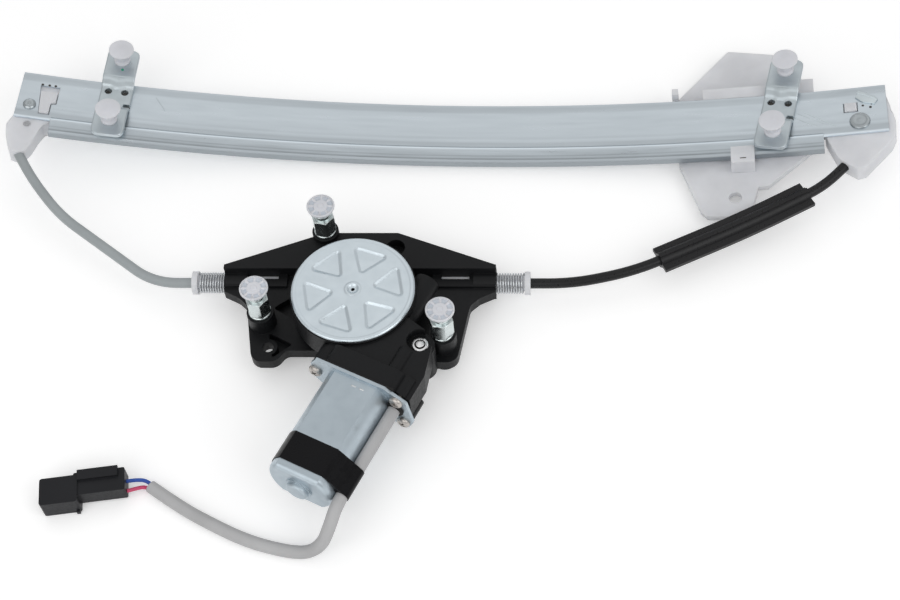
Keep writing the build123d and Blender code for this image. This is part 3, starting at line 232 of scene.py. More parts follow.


# painted shade and highlight across the rail's width, standing in for the light and dark that fall on
# its pressed steps, flange and lip: Y in millimetres, and share of the base colour
RAIL_PAINTED_SHADE_BANDS = (
    (63.9, 0.44), (64.5, 0.50), (65.0, 0.60), (65.6, 0.66), (66.2, 0.48), (66.7, 0.70),
    (67.2, 0.78), (67.7, 0.62), (68.2, 0.80), (70.6, 0.84), (71.2, 0.94), (71.7, 1.22),
    (72.4, 1.10), (73.0, 0.78), (75.8, 0.76), (76.8, 0.88), (77.8, 0.93), (78.7, 0.87),
    (79.4, 0.88), (80.2, 0.93), (87.4, 0.95), (95.0, 0.93), (96.2, 0.81), (98.8, 0.78),
    (100.0, 0.86), (100.6, 0.98),
)
RAIL = metal("zinc_rail_painted_shade", (0.70, 0.77, 0.82), 0.34, streak=(0.06, 1, 1), grain=420.0,
             cloudy=0.03, painted_light_bands=RAIL_PAINTED_SHADE_BANDS)
ZINC = metal("zinc_steel", (0.68, 0.75, 0.78), 0.34)
COVER = metal("cover_steel", (0.72, 0.80, 0.85), 0.36, cloudy=0.02)
CAN = metal("can_steel", (0.50, 0.57, 0.62), 0.40, cloudy=0.02)
BRIGHT = metal("bright_steel", (0.72, 0.74, 0.75), 0.25)
CABLE = metal("cable_steel", (0.42, 0.42, 0.43), 0.4, grain=900.0)
NYLON = plastic("white_nylon", (0.74, 0.75, 0.78), 0.42, through=0.5, spread=0.006)
PLUG = plastic("plug_plastic", (0.70, 0.71, 0.75), 0.35, through=0.45, spread=0.004)
BLACK = plastic("black_plastic", (0.007, 0.0075, 0.0085), 0.42, bump=0.00004, gloss=0.22)
GREY_CONDUIT = plastic("grey_conduit", (0.36, 0.39, 0.40), 0.35, gloss=0.35)
BLACK_CONDUIT = plastic("black_conduit", (0.010, 0.010, 0.011), 0.3, gloss=0.3)
RUBBER = plastic("black_rubber", (0.02, 0.02, 0.02), 0.7, gloss=0.2)
TAPE = plastic("black_tape", (0.006, 0.006, 0.007), 0.25, grain=300.0, bump=0.00006, gloss=0.12)
FERRITE = plastic("ferrite", (0.06, 0.06, 0.065), 0.6)
CORE = metal("core_steel", (0.3, 0.3, 0.31), 0.5)
COPPER = metal("copper", (0.75, 0.36, 0.18), 0.3)
SLEEVE = plastic("grey_sleeve", (0.47, 0.47, 0.475), 0.5, gloss=0.3)
BLUE = plastic("blue_wire", (0.02, 0.08, 0.40), 0.35)
RED = plastic("red_wire", (0.62, 0.06, 0.16), 0.35)
CONNECTOR = plastic("connector_plastic", (0.014, 0.0145, 0.017), 0.4, gloss=0.22)
BRASS = metal("brass_terminals", (0.75, 0.6, 0.3), 0.3)
SPRING_STEEL = metal("spring_steel", (0.62, 0.64, 0.66), 0.22)
HEX_STEEL = metal("hex_steel", (0.66, 0.72, 0.72), 0.2)
LUG_STEEL = metal("lug_steel", (0.95, 0.96, 0.97), 0.35)
BRACKET_STEEL = metal("bracket_steel", (0.58, 0.64, 0.67), 0.42)
RIVET_STEEL = metal("rivet_steel", (0.46, 0.50, 0.52), 0.28)
SCREW_STEEL = metal("screw_steel", (0.52, 0.49, 0.46), 0.3)
CAP_WINDOW = plastic("cap_window", (0.57, 0.61, 0.67), 0.3, through=0.3, spread=0.003)
GREEN_PAINT = plastic("green_paint", (0.02, 0.36, 0.22), 0.5)
# painted shade: a dark colour put on the floors and walls of holes, grooves and slots
PAINTED_HOLE_SHADE = metal("hole_shadow", (0.10, 0.095, 0.09), 0.6)

FINISHES = (
    (RAIL, "guide_rail"),
    (ZINC, "left_bracket right_bracket guide_rivets standoffs lug_bolt"),
    (COVER, "gear_cover"),
    (CAN, "motor_can"),
    (BRIGHT, "left_spring right_spring motor_screws spindle armature_shaft drive_plate shaft_bearings"),
    (CABLE, "lift_cable cable_turns cable_nipples"),
    (NYLON, "left_cable_guide right_cable_guide glass_carrier left_ferrule right_ferrule"),
    (NYLON, "worm_wheel cable_drum"),
    (PLUG, "left_bracket_plugs right_bracket_plugs stud_plugs"),
    (BLACK, "drum_housing gear_housing brush_card"),
    (GREY_CONDUIT, "left_conduit"),
    (BLACK_CONDUIT, "right_conduit conduit_sleeve"),
    (RUBBER, "rubber_damper flange_gasket"),
    (TAPE, "tape_band"),
    (FERRITE, "motor_magnets motor_brushes"),
    (CORE, "armature_core"),
    (COPPER, "armature_windings commutator"),
    (SLEEVE, "lead_sleeve_clamped lead_sleeve"),
    (BLUE, "wire_blue"),
    (RED, "wire_red"),
    (CONNECTOR, "connector_housing"),
    (BRASS, "connector_terminals"),
)
for material, names in FINISHES:
    for name in names.split():
        piece = nodes[name]
        piece.data.materials.clear()
        piece.data.materials.append(material)


# ------------------------------------------------------------------ frames, in millimetres
RAIL_RADIUS = 1121.3              # arc of the web's upper face
RAIL_CENTRE_Z = 1128.3
WORM_OFFSET = 25.8
WORM_Z = 26.0
UNIT = Matrix.Translation((-33.8, -34.5, 0.0)) @ Matrix.Rotation(radians(1.6), 4, "Z")
MOTOR = (UNIT @ Matrix.Rotation(radians(-25.4), 4, "Z")
         @ Matrix.Translation((WORM_OFFSET, 0, WORM_Z)) @ Matrix.Rotation(pi / 2, 4, "X"))


def seat(x, y=0.0, height=0.0, turn=0.0):
    """Frame on the web's upper face: x along the rail, y across it, z up off the web."""
    a = asin(x / RAIL_RADIUS)
    r = RAIL_RADIUS - height
    place = Matrix.Translation((r * sin(a), y, RAIL_CENTRE_Z - r * cos(a)))
    return place @ Matrix.Rotation(-a, 4, "Y") @ Matrix.Rotation(radians(turn), 4, "Z")


def at(x, y, z=0.0):
    """Shift within a frame."""
    return Matrix.Translation((x, y, z))


# ------------------------------------------------------------------ mesh helpers
def join(bm, low, high):
    """Faces between two closed rings of vertices; a ring of one vertex is a tip."""
    count = max(len(low), len(high))
    faces = []
    for i in range(count):
        corners = [low[i % len(low)], low[(i + 1) % len(low)],
                   high[(i + 1) % len(high)], high[i % len(high)]]
        faces.append(bm.faces.new(list(dict.fromkeys(corners))))
    return faces


def lathe(bm, place, profile, steps=48):
    """Turned form from points of radius and height."""
    rings = []
    for r, z in profile:
        angles = [2 * pi * i / steps for i in range(steps)] if r else [0]
        rings.append([bm.verts.new(place @ Vector((r * cos(a), r * sin(a), z))) for a in angles])
    for low, high in zip(rings, rings[1:]):
        join(bm, low, high)


def prism(bm, place, outline, low, high, bevel=0.0):
    """Block with a flat outline between two heights, its edges rounded."""
    rings = [[bm.verts.new(place @ Vector((x, y, z))) for x, y in outline] for z in (low, high)]
    faces = join(bm, *rings)
    faces += [bm.faces.new(rings[0][::-1]), bm.faces.new(rings[1])]
    if bevel:
        edges = list({edge for face in faces for edge in face.edges})
        bmesh.ops.bevel(bm, geom=edges, offset=bevel, segments=2, affect="EDGES", profile=0.6)


def block(bm, place, size, bevel=0.0):
    """Box of a given size, centred in x and y and standing on its frame."""
    x, y, z = size
    outline = [(-x / 2, -y / 2), (x / 2, -y / 2), (x / 2, y / 2), (-x / 2, y / 2)]
    prism(bm, place, outline, 0, z, bevel)


def tube(bm, points, radius, sides=10):
    """Round wire along a line of points, with closed ends."""
    points = [Vector(p) for p in points]
    side = (points[1] - points[0]).orthogonal().normalized()
    rings = []
    for i, point in enumerate(points):
        ahead = (points[min(i + 1, len(points) - 1)] - points[max(i - 1, 0)]).normalized()
        side = (side - ahead * side.dot(ahead)).normalized()
        other = ahead.cross(side)
        rings.append([bm.verts.new(point + radius * (side * cos(a) + other * sin(a)))
                      for a in (2 * pi * k / sides for k in range(sides))])
    for low, high in zip(rings, rings[1:]):
        join(bm, low, high)
    bm.faces.new(rings[0][::-1])
    bm.faces.new(rings[-1])


def add_piece(name, bm, slot, *materials, body="root", replaces=(), crease=35):
    """Finish a mesh drawn in millimetres as one piece that rides on a body."""
    bmesh.ops.recalc_face_normals(bm, faces=bm.faces)
    bm.transform(Matrix.Scale(MM, 4))
    mesh = bpy.data.meshes.new(name)
    bm.to_mesh(mesh)
    bm.free()
    for polygon in mesh.polygons:
        polygon.use_smooth = True
    mesh.set_sharp_from_angle(angle=radians(crease))
    for material in materials:
        mesh.materials.append(material)
    piece = bpy.data.objects.new(name, mesh)
    bpy.context.scene.collection.objects.link(piece)
    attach(piece, body)
    if replaces:
        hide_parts(*replaces)
    return piece


# ------------------------------------------------------------------ cords
def nurbs_cord(name, points_mm, radius_mm, material):
    """Smooth tube along a route, given as control points in millimetres."""
    curve = bpy.data.curves.new(name, "CURVE")
    curve.dimensions = "3D"
    curve.bevel_depth = radius_mm * MM
    curve.bevel_resolution = 5
    curve.use_fill_caps = True
    spline = curve.splines.new("NURBS")
    spline.points.add(len(points_mm) - 1)
    for point, place in zip(spline.points, points_mm):
        point.co = (*(Vector(place) * MM), 1)
    spline.order_u = 3
    spline.use_endpoint_u = True
    spline.resolution_u = 12
    curve.materials.append(material)
    piece = bpy.data.objects.new(name, curve)
    bpy.context.scene.collection.objects.link(piece)
    return piece


LEAD_D = 6.0
LEAD_ROUTE = (
    (-28.31, -133.08, 26.0), (-31.54, -140.40, 26.0), (-34.5, -147.5, 19.5),
    (-38.5, -152.0, 9.5), (-46.0, -153.5, 3.1), (-58.0, -152.5, 3.1), (-74.0, -148.5, 3.1),
    (-90.0, -141.5, 3.1), (-106.0, -133.5, 3.1), (-121.5, -123.5, 3.1),
)

lead = nurbs_cord("lead", LEAD_ROUTE, LEAD_D / 2, SLEEVE)
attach(lead, "root")
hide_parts("lead_sleeve")


# ------------------------------------------------------------------ conduit springs
CABLE_R, CABLE_Z = 20.0, 11.0     # the cable's line beside the drum, in the unit's frame
SPRING_FROM, SPRING_TO = 56.6, 79.2
SPRING_PITCH = 1.27
SPRING_WIRE = 0.43
SPRING_R = 4.8
SPRING_STEPS = 28                 # steps of the mesh in each turn


def add_spring(name, side):
    """Helical spring between the housing's arm and the ferrule's flange."""
    bm = bmesh.new()
    run = SPRING_TO - SPRING_FROM - 2 * SPRING_WIRE
    path = []
    for i in range(int(run / SPRING_PITCH * SPRING_STEPS) + 1):
        turn = 2 * pi * i / SPRING_STEPS
        path.append(UNIT @ Vector((
            side * (SPRING_FROM + SPRING_WIRE + SPRING_PITCH * i / SPRING_STEPS),
            CABLE_R + SPRING_R * cos(turn), CABLE_Z + SPRING_R * sin(turn))))
    tube(bm, path, SPRING_WIRE, 8)
    add_piece(name + "_coils", bm, "bright_steel", SPRING_STEEL, replaces=[name + "_spring"], crease=60)


add_spring("left", -1)
add_spring("right", 1)


# ------------------------------------------------------------------ standoffs and their caps
STUD_CIRCLE = 45.0
STUD_ANGLES = (186.8, 338.2, 112.8)
STUD_PLACES = [UNIT @ at(STUD_CIRCLE * cos(radians(a)), STUD_CIRCLE * sin(radians(a)))
               for a in STUD_ANGLES]
STUD_FOOT, STUD_SEAT, STUD_TOP = 2.6, 24.6, 40.0
HEX_LOW, HEX_HIGH = 26.4, 37.2    # ends of the hexagon, below a round pilot
HEX_HALF = 5.0                    # half of the size across its flats
HEX_TURN = 0.35
HEX_CHAMFER = 0.15                # how far the turned ends lie inside the flats
HEX_SLOPE = 0.6                   # drop of the turned corners for their reach
PILOT_R = 3.9


def hex_rings(bm, place, steps=72):
    """Hexagon with its corners turned off at both ends, on a washer face, with a round pilot."""
    angles = [2 * pi * i / steps for i in range(steps)]
    reach = [HEX_HALF / cos((a + pi / 6) % (pi / 3) - pi / 6) for a in angles]
    round_r = HEX_HALF - HEX_CHAMFER
    levels = [
        ([3.0] * steps, STUD_TOP - 6), ([3.0] * steps, STUD_TOP), ([PILOT_R] * steps, STUD_TOP),
        ([4.1] * steps, STUD_TOP - 0.3), ([4.1] * steps, HEX_HIGH), ([round_r] * steps, HEX_HIGH),
        (reach, None), (reach, None), ([round_r] * steps, HEX_LOW),
        ([5.0] * steps, HEX_LOW - 0.3), ([5.35] * steps, HEX_LOW - 0.5),
        ([5.4] * steps, STUD_SEAT + 0.2), ([5.2] * steps, STUD_SEAT), ([PILOT_R] * steps, STUD_SEAT),
    ]
    rings = []
    for index, (radii, z) in enumerate(levels):
        ring = []
        for a, r in zip(angles, radii):
            drop = (r - round_r) * HEX_SLOPE
            height = z if z is not None else (HEX_HIGH - drop if index == 6 else HEX_LOW + drop)
            ring.append(bm.verts.new(place @ Vector((r * cos(a), r * sin(a), height))))
        rings.append(ring)
    for low, high in zip(rings, rings[1:]):
        join(bm, low, high)
    bm.faces.new(rings[0])
    bm.faces.new(rings[-1])


bm = bmesh.new()
for place in STUD_PLACES:
    hex_rings(bm, place @ Matrix.Rotation(HEX_TURN, 4, "Z"))
    lathe(bm, place, ((0, STUD_FOOT), (PILOT_R, STUD_FOOT), (PILOT_R, STUD_SEAT), (0, STUD_SEAT)), 32)
add_piece("hex_standoffs", bm, "zinc_steel", HEX_STEEL, replaces=["standoffs"], crease=28)

CAP_R = 6.7
CAP_RIM = 5.3                     # height of the caps' rims above the standoffs
CAP_WALL = 0.7                    # thickness of the rims
CAP_SUNK = 0.7                    # depth of the windows
CAP_SPOKE = 0.15                  # depth of the spokes
CAP_MIDDLE = 0.25                 # rise of the middle
CAP_WINDOWS = 8
CAP_STEPS = 8                     # steps of the mesh in each window's share of the turn


def add_cap(bm, place):
    """Cap with a thin raised rim and eight sunk windows between spokes, on a hollow stem."""
    lathe(bm, place, (
        (0, -8.6), (2.5, -8.6), (2.9, -8.0), (2.9, 0), (3.4, 0.2), (3.6, 2.8), (4.8, 3.5),
        (6.3, 3.9), (CAP_R, 4.3), (CAP_R, CAP_RIM - 0.3), (CAP_R - 0.3, CAP_RIM),
        (CAP_R - CAP_WALL, CAP_RIM),
    ), CAP_WINDOWS * CAP_STEPS)
    rings = []
    for r, sunk in ((CAP_R - CAP_WALL, 0), (CAP_R - 0.9, 1), (3.5, 1), (3.3, 0), (1.5, 0), (1.3, 0)):
        ring = []
        for i in range(CAP_WINDOWS * CAP_STEPS):
            turn = 2 * pi * (i + 0.5) / (CAP_WINDOWS * CAP_STEPS)
            window = sunk and 1 <= i % CAP_STEPS <= CAP_STEPS - 2
            depth = CAP_SUNK if window else CAP_SPOKE if r < CAP_R - CAP_WALL else 0
            z = CAP_RIM - depth + (CAP_MIDDLE if r < 1.4 else 0)
            ring.append(bm.verts.new(place @ Vector((r * cos(turn), r * sin(turn), z))))
        rings.append(ring)
    for low, high in zip(rings, rings[1:]):
        faces = join(bm, low, high)
        if low is rings[1]:
            for i, face in enumerate(faces):
                if 1 <= i % CAP_STEPS < CAP_STEPS - 2:
                    face.material_index = 1
    bm.faces.new(rings[-1])


bm = bmesh.new()
for place in STUD_PLACES:
    add_cap(bm, place @ at(0, 0, STUD_TOP))
add_piece("stud_caps", bm, "plug_plastic", PLUG, CAP_WINDOW, replaces=["stud_plugs"], crease=40)


# ------------------------------------------------------------------ gear cover
COVER_R = 29.0
COVER_LOW = 35.45                 # underside of the cover's flat rim
COVER_T = 1.0
FORM_DEPTH = 0.8                  # depth of the pressed forms
FORM_WALL = 1.9                   # width of their sloped walls
FORM_ROUND = 2.4
FORM_TIP = 1.6                    # inset of their inner corners, in roundings
FORM_SPREAD = 9.5
FORM_TURN = 11.0                  # degrees
FORM_CORNERS = ((7.7, 0.0), (23.3, -8.3), (23.3, 8.3))
BUTTON_R, BUTTON_H, BUTTON_WALL = 4.4, 0.4, 1.2      # raised ring round the centre
DIMPLE_R, DIMPLE_DEPTH, DIMPLE_WALL = 1.5, 0.9, 1.6
RIM_FROM, RIM_H, RIM_WALL = 26.6, 0.25, 0.5
COVER_EDGE = 0.9                  # width and drop of the rounded outer edge
COVER_SUNK = 0.2                  # how far the flat lies below the sheet's full height
COVER_LEAST = 0.06                # least height above the underside
COVER_HOLE_R = 0.9
COVER_STEPS = 288                 # steps of the mesh round the cover


def edge_distance(x, y, corners):
    """Distance from a point to a triangle's outline, negative inside it."""
    nearest, inside = 1e9, True
    for (ax, ay), (bx, by) in zip(corners, corners[1:] + corners[:1]):
        ex, ey = bx - ax, by - ay
        share = max(0.0, min(1.0, ((x - ax) * ex + (y - ay) * ey) / (ex * ex + ey * ey)))
        nearest = min(nearest, hypot(x - ax - share * ex, y - ay - share * ey))
        inside = inside and ex * (y - ay) - ey * (x - ax) > 0
    return -nearest if inside else nearest


def eased(value):
    """Smooth step from 0 to 1."""
    value = max(0.0, min(1.0, value))
    return value * value * (3 - 2 * value)


def cover_height(r, turn):
    """Height of the cover's upper face: six sunk forms, and a ring round a centre dimple."""
    sector = (turn - radians(FORM_TURN) + pi / 6) % (pi / 3) - pi / 6
    inner = tuple((x + (FORM_ROUND * FORM_TIP if y == 0 else -FORM_ROUND),
                   y * (1 - FORM_ROUND / FORM_SPREAD)) for x, y in FORM_CORNERS)
    gap = edge_distance(r * cos(sector), r * sin(sector), inner) - FORM_ROUND
    sunk = FORM_DEPTH * (1 - eased((gap + FORM_WALL) / FORM_WALL))
    button = BUTTON_H * (1 - eased((r - BUTTON_R + BUTTON_WALL) / BUTTON_WALL))
    dimple = DIMPLE_DEPTH * (1 - eased((r - DIMPLE_R) / DIMPLE_WALL))
    rim = RIM_H * eased((r - RIM_FROM) / RIM_WALL)
    rim -= COVER_EDGE * max(0.0, (r - COVER_R + COVER_EDGE) / COVER_EDGE) ** 2
    return COVER_T - sunk + button - dimple - COVER_SUNK + rim


def cover_ring(bm, r, height):
    """Ring of the cover's mesh, at a height above the underside that may change with the turn."""
    turns = [2 * pi * i / COVER_STEPS for i in range(COVER_STEPS)]
    return [bm.verts.new(UNIT @ Vector((r * cos(a), r * sin(a), COVER_LOW + height(r, a))))
            for a in turns]


COVER_RADII = [COVER_HOLE_R, 1.2] + [1.5 + 0.32 * i for i in range(85)] + [28.75, 28.92, COVER_R]
COVER_UNDER = ((COVER_R, 0.0), (COVER_R - 0.6, -0.02), (1.2, -0.02), (COVER_HOLE_R, 0.0))

bm = bmesh.new()
rings = [cover_ring(bm, r, lambda r, a: max(COVER_LEAST, cover_height(r, a))) for r in COVER_RADII]
rings += [cover_ring(bm, r, lambda r, a, z=z: z) for r, z in COVER_UNDER]
for low, high in zip(rings, rings[1:] + rings[:1]):
    join(bm, low, high)
add_piece("pressed_cover", bm, "cover_steel", COVER, replaces=["gear_cover"], crease=50)


# ------------------------------------------------------------------ lug bolt and motor screws
LUG_PLACE = (32.2, -26.4)
LUG_TOP = 29.0
GROOVE_FROM, GROOVE_TO, GROOVE_TOP = 1.99, 2.51, 1.3    # groove in the rivet's head, painted dark as shade
place = UNIT @ at(*LUG_PLACE, LUG_TOP)
bm = bmesh.new()
lathe(bm, place, (
    (0, -27), (2.9, -27), (2.9, 0), (3.75, 0), (3.85, 0.3), (3.8, 1.1), (3.5, 1.35), (2.6, 1.35),
    (2.5, 0.9), (2.5, 0.2), (2.0, 0.2), (2.0, 1.7), (1.8, 1.9), (0, 1.95)))
# faces inside the groove get the painted shade
for face in bm.faces:
    spot = place.inverted() @ face.calc_center_median()
    if GROOVE_FROM < hypot(spot.x, spot.y) < GROOVE_TO and -1 < spot.z < GROOVE_TOP:
        face.material_index = 1
add_piece("lug_rivet", bm, "zinc_steel", LUG_STEEL, PAINTED_HOLE_SHADE, replaces=["lug_bolt"], crease=50)

SCREW_PLACES = ((-21.8, 4.0), (20.2, 7.0), (22.7, -9.0))
FLANGE_OUT = 42.5                 # outer face of the motor's flange, along the motor
SCREW_STEPS = 32
SCREW_RIM_R, SCREW_RIM_Z = 2.3, 1.95
CROSS_REACH, CROSS_HALF = 1.7, 0.38   # length and half width of the recess's arms
CROSS_TOP, CROSS_FLOOR = 2.15, 0.9
CROSS_TAPER = 0.8


def add_screw(bm, place):
    """Pan head with a cross recess, and its shank."""
    lathe(bm, place, (
        (0, -8), (1.85, -8), (1.85, 0), (3.2, 0), (3.3, 0.5), (3.0, 1.4),
        (SCREW_RIM_R, SCREW_RIM_Z)), SCREW_STEPS)
    rim, cross = [], []
    for i in range(SCREW_STEPS):
        turn = 2 * pi * i / SCREW_STEPS
        spot = Vector((SCREW_RIM_R * cos(turn), SCREW_RIM_R * sin(turn), SCREW_RIM_Z))
        rim.append(bm.verts.new(place @ spot))
        arm = abs((turn + pi / 4) % (pi / 2) - pi / 4)
        reach = min(CROSS_REACH, CROSS_HALF / max(sin(arm), 0.05))
        cross.append((reach * cos(turn), reach * sin(turn)))
    edge = [bm.verts.new(place @ Vector((x, y, CROSS_TOP))) for x, y in cross]
    sunk = [bm.verts.new(place @ Vector((CROSS_TAPER * x, CROSS_TAPER * y, CROSS_FLOOR)))
            for x, y in cross]
    join(bm, rim, edge)
    join(bm, edge, sunk)
    bm.faces.new(sunk)


bm = bmesh.new()
for index, (x, y) in enumerate(SCREW_PLACES):
    add_screw(bm, MOTOR @ at(x, y, FLANGE_OUT) @ Matrix.Rotation(0.5 + index, 4, "Z"))
bmesh.ops.remove_doubles(bm, verts=bm.verts, dist=0.001)
add_piece("cross_screws", bm, "bright_steel", SCREW_STEEL, replaces=["motor_screws"], crease=40)


# ------------------------------------------------------------------ marks on the can, grommet
CAN_TOP_Y = 12.02                 # upper face of the motor's can
CAN_MARKS = ((1.0, 46.2, 2.4, 0.7), (5.0, 46.2, 2.4, 0.7))   # x, along the motor, width, depth
STAKE_LOW, STAKE_HIGH, STAKE_EDGE = -0.3, 0.12, 0.08         # from the can's face
GROMMET_PLACE = (19.0, 0.0)
GROMMET_PROFILE = ((2.9, -0.5), (4.4, -0.5), (4.4, 0.9), (4.0, 1.4), (3.1, 1.4), (2.9, 1.1))


def add_can_marks():
    """Staked tabs at the top of the can, and the dark grommet round the lead."""
    bm = bmesh.new()
    for x, along_z, width, depth in CAN_MARKS:
        place = MOTOR @ Matrix.Translation((x, CAN_TOP_Y, along_z))
        prism(bm, place @ Matrix.Rotation(radians(-90), 4, "X"), [
            (-width / 2, -depth / 2), (width / 2, -depth / 2),
            (width / 2, depth / 2), (-width / 2, depth / 2)], STAKE_LOW, STAKE_HIGH, STAKE_EDGE)
    add_piece("can_stakes", bm, "bright_steel", BRIGHT, crease=40)
    bm = bmesh.new()
    lathe(bm, MOTOR @ at(*GROMMET_PLACE, FLANGE_OUT), GROMMET_PROFILE, 32)
    add_piece("lead_grommet", bm, "black_rubber", RUBBER, crease=40)


add_can_marks()


# ------------------------------------------------------------------ brackets on the rail
BRACKET_HALF = 8.25
BRACKET_T = 2.0
BRACKET_MID = 88.9                # Y of the middle of a bracket's flat
BRACKET_FROM, BRACKET_TO = 63.2, 120.0
BRACKET_PATH = (                  # Y across the rail, height of the bracket's upper face
    (63.2, 5.0), (80.2, 5.0), (81.2, 4.6), (82.4, 2.6), (83.6, 2.1), (85.0, 2.05), (95.6, 2.05),
    (96.6, 2.6), (97.4, 3.2), (99.6, 4.1), (100.8, 4.8), (102.0, 5.3), (103.4, 5.2), (120.0, 5.0),
)
BRACKET_ROUND = 3.5
BRACKET_GAP = 0.05                # above the web
BRACKET_ROWS, BRACKET_COLUMNS = 190, 56
SIDE_DROP, SIDE_WIDTH = 0.35, 0.6     # rounding of the long sides
LEAST_T = 0.3
GUSSET_REACH, GUSSET_HALF = 1.3, 4.6
GUSSET_FROM, GUSSET_TO = 95.0, 101.0
# holes and the notch are cups down to this height, painted dark as shade
HOLE_FLOOR = 0.35
CLINCH_PLACES = ((-4.25, 93.5), (4.25, 93.5))
CLINCH_R = 1.7
NOTCH = (5.0, 8.3, 84.0, 85.8)    # lanced notch beside the front pad


def along(path, at_y):
    """Height on a line of points, by Y."""
    for (y0, z0), (y1, z1) in zip(path, path[1:]):
        if at_y <= y1:
            return z0 + (z1 - z0) * (at_y - y0) / (y1 - y0)
    return path[-1][1]


def bracket_face(x, y):
    """Height of a bracket's upper face, and whether the spot lies in a hole."""
    gusset = GUSSET_REACH * eased(1 - abs(x) / GUSSET_HALF)
    hole = any(hypot(x - cx, y - cy) < CLINCH_R for cx, cy in CLINCH_PLACES)
    hole = hole or (NOTCH[0] < x < NOTCH[1] and NOTCH[2] < y < NOTCH[3])
    if hole:
        return HOLE_FLOOR, True
    return along(BRACKET_PATH, y + gusset if GUSSET_FROM < y < GUSSET_TO else y), False


def add_bracket(name, x, turn):
    """Bent sheet with a joggle, a gusset, two clinch holes and a lanced notch; the holes and notch are
    shallow cups painted dark as shade.
    """
    bm = bmesh.new()
    place = seat(x, BRACKET_MID, BRACKET_GAP, turn)
    rows, columns = BRACKET_ROWS, BRACKET_COLUMNS
    tops, lows, painted_shade_cells = [], [], []
    for j in range(rows + 1):
        y = BRACKET_FROM + (BRACKET_TO - BRACKET_FROM) * j / rows
        near_end = min(y - BRACKET_FROM, BRACKET_TO - y)
        inset = max(0.0, BRACKET_ROUND - near_end)
        half = BRACKET_HALF - BRACKET_ROUND + (BRACKET_ROUND ** 2 - inset ** 2) ** 0.5
        top, low, sunk = [], [], []
        for i in range(columns + 1):
            side = half * (2 * i / columns - 1)
            height, hole = bracket_face(side, y)
            under = max(0.0, along(BRACKET_PATH, y) - BRACKET_T)
            soft = SIDE_DROP * eased(1 - (half - abs(side)) / SIDE_WIDTH)
            floor = min(under, height - LEAST_T)
            top.append(bm.verts.new(place @ Vector((side, y - BRACKET_MID, height - soft))))
            low.append(bm.verts.new(place @ Vector((side, y - BRACKET_MID, floor))))
            sunk.append(hole)
        tops.append(top)
        lows.append(low)
        painted_shade_cells.append(sunk)
    for j in range(rows):
        for i in range(columns):
            face = bm.faces.new((tops[j][i], tops[j][i + 1], tops[j + 1][i + 1], tops[j + 1][i]))
            # faces in the holes and notch get the painted shade
            face.material_index = int(painted_shade_cells[j][i] and painted_shade_cells[j + 1][i + 1])
            bm.faces.new((lows[j][i], lows[j + 1][i], lows[j + 1][i + 1], lows[j][i + 1]))
    rim = [(j, 0) for j in range(rows + 1)] + [(rows, i) for i in range(1, columns + 1)]
    rim += [(j, columns) for j in range(rows - 1, -1, -1)] + [(0, i) for i in range(columns - 1, 0, -1)]
    join(bm, [tops[j][i] for j, i in rim], [lows[j][i] for j, i in rim])
    add_piece(name + "_sheet", bm, "zinc_steel", BRACKET_STEEL, PAINTED_HOLE_SHADE, replaces=[name], crease=45)


DOT_PLACE = (-171.1, 106.1)       # inspection mark on the left bracket
DOT_R = 0.75
CLIP_X = 152.0                    # middle of the carrier's clip, at rest
CLIP_TOP = 1.6
DOT_HEIGHT = 5.24                 # above the web
SLOT_SHIFT, SLOT_Y = 1.7, 60.6
SLOT_SIZE, SLOT_DEPTH, SLOT_EDGE = (3.0, 0.55, 0.34), 0.3, 0.05
LEFT_BRACKET_X, LEFT_BRACKET_TURN = -172.2, 0.0
RIGHT_BRACKET_X, RIGHT_BRACKET_TURN = 168.4, -11.6


def add_small_marks():
    """Paint dot on the left bracket, and the slot in the top of the carrier's clip, drawn as a dark
    block of painted shade.
    """
    bm = bmesh.new()
    lathe(bm, seat(*DOT_PLACE, DOT_HEIGHT), (
        (0, 0.02), (DOT_R, 0.02), (DOT_R, 0.08), (0, 0.1)), 20)
    add_piece("inspection_dot", bm, "zinc_steel", GREEN_PAINT, crease=60)
    bm = bmesh.new()
    # dark block that stands in for the shade inside the slot
    block(bm, seat(CLIP_X - SLOT_SHIFT, SLOT_Y, CLIP_TOP - SLOT_DEPTH), SLOT_SIZE, SLOT_EDGE)
    add_piece("clip_slot_shade", bm, "white_nylon", PAINTED_HOLE_SHADE, body="carrier", crease=40)


add_small_marks()
add_bracket("left_bracket", LEFT_BRACKET_X, LEFT_BRACKET_TURN)
add_bracket("right_bracket", RIGHT_BRACKET_X, RIGHT_BRACKET_TURN)


# ------------------------------------------------------------------ guides at the rail's ends
GUIDE_TOP = -1.25                 # under the web's sheet
GUIDE_H = 9.6
GUIDE_ROUND = 0.9
HOOK_DEPTH, HOOK_TOP, HOOK_ROUND = 1, 0.8, 0.25
LEFT_RIVET, RIGHT_RIVET = (-214.1, 80.1), (207.2, 79.0)
LEFT_GUIDE = (
    (-5.6, 96.0), (-5.6, 76.0), (-6.8, 73.0), (-9.4, 67.0), (-8.2, 60.0), (-4.2, 50.6),
    (-1.0, 49.6), (3.2, 51.4), (5.6, 56.5), (7.0, 63.0), (8.6, 69.6), (14.4, 71.0), (16.4, 74.5),
    (16.4, 96.0),
)
RIGHT_GUIDE = (
    (13.6, 96.0), (14.2, 87.5), (16.4, 83.4), (17.2, 78.4), (16.9, 71.5), (14.6, 66.4),
    (1.0, 51.4), (-3.2, 50.4), (-10.4, 56.6), (-12.6, 60.0), (-17.4, 73.0), (-17.4, 96.0),
)
LEFT_HOOK = ((4.1, 89.3), (12.9, 89.3), (12.9, 82.5), (10.5, 82.0), (10.5, 75.3), (5.5, 75.3))
RIGHT_HOOK = ((-1.0, 90.6), (-1.0, 85.5), (-7.0, 85.5), (-7.0, 90.6))


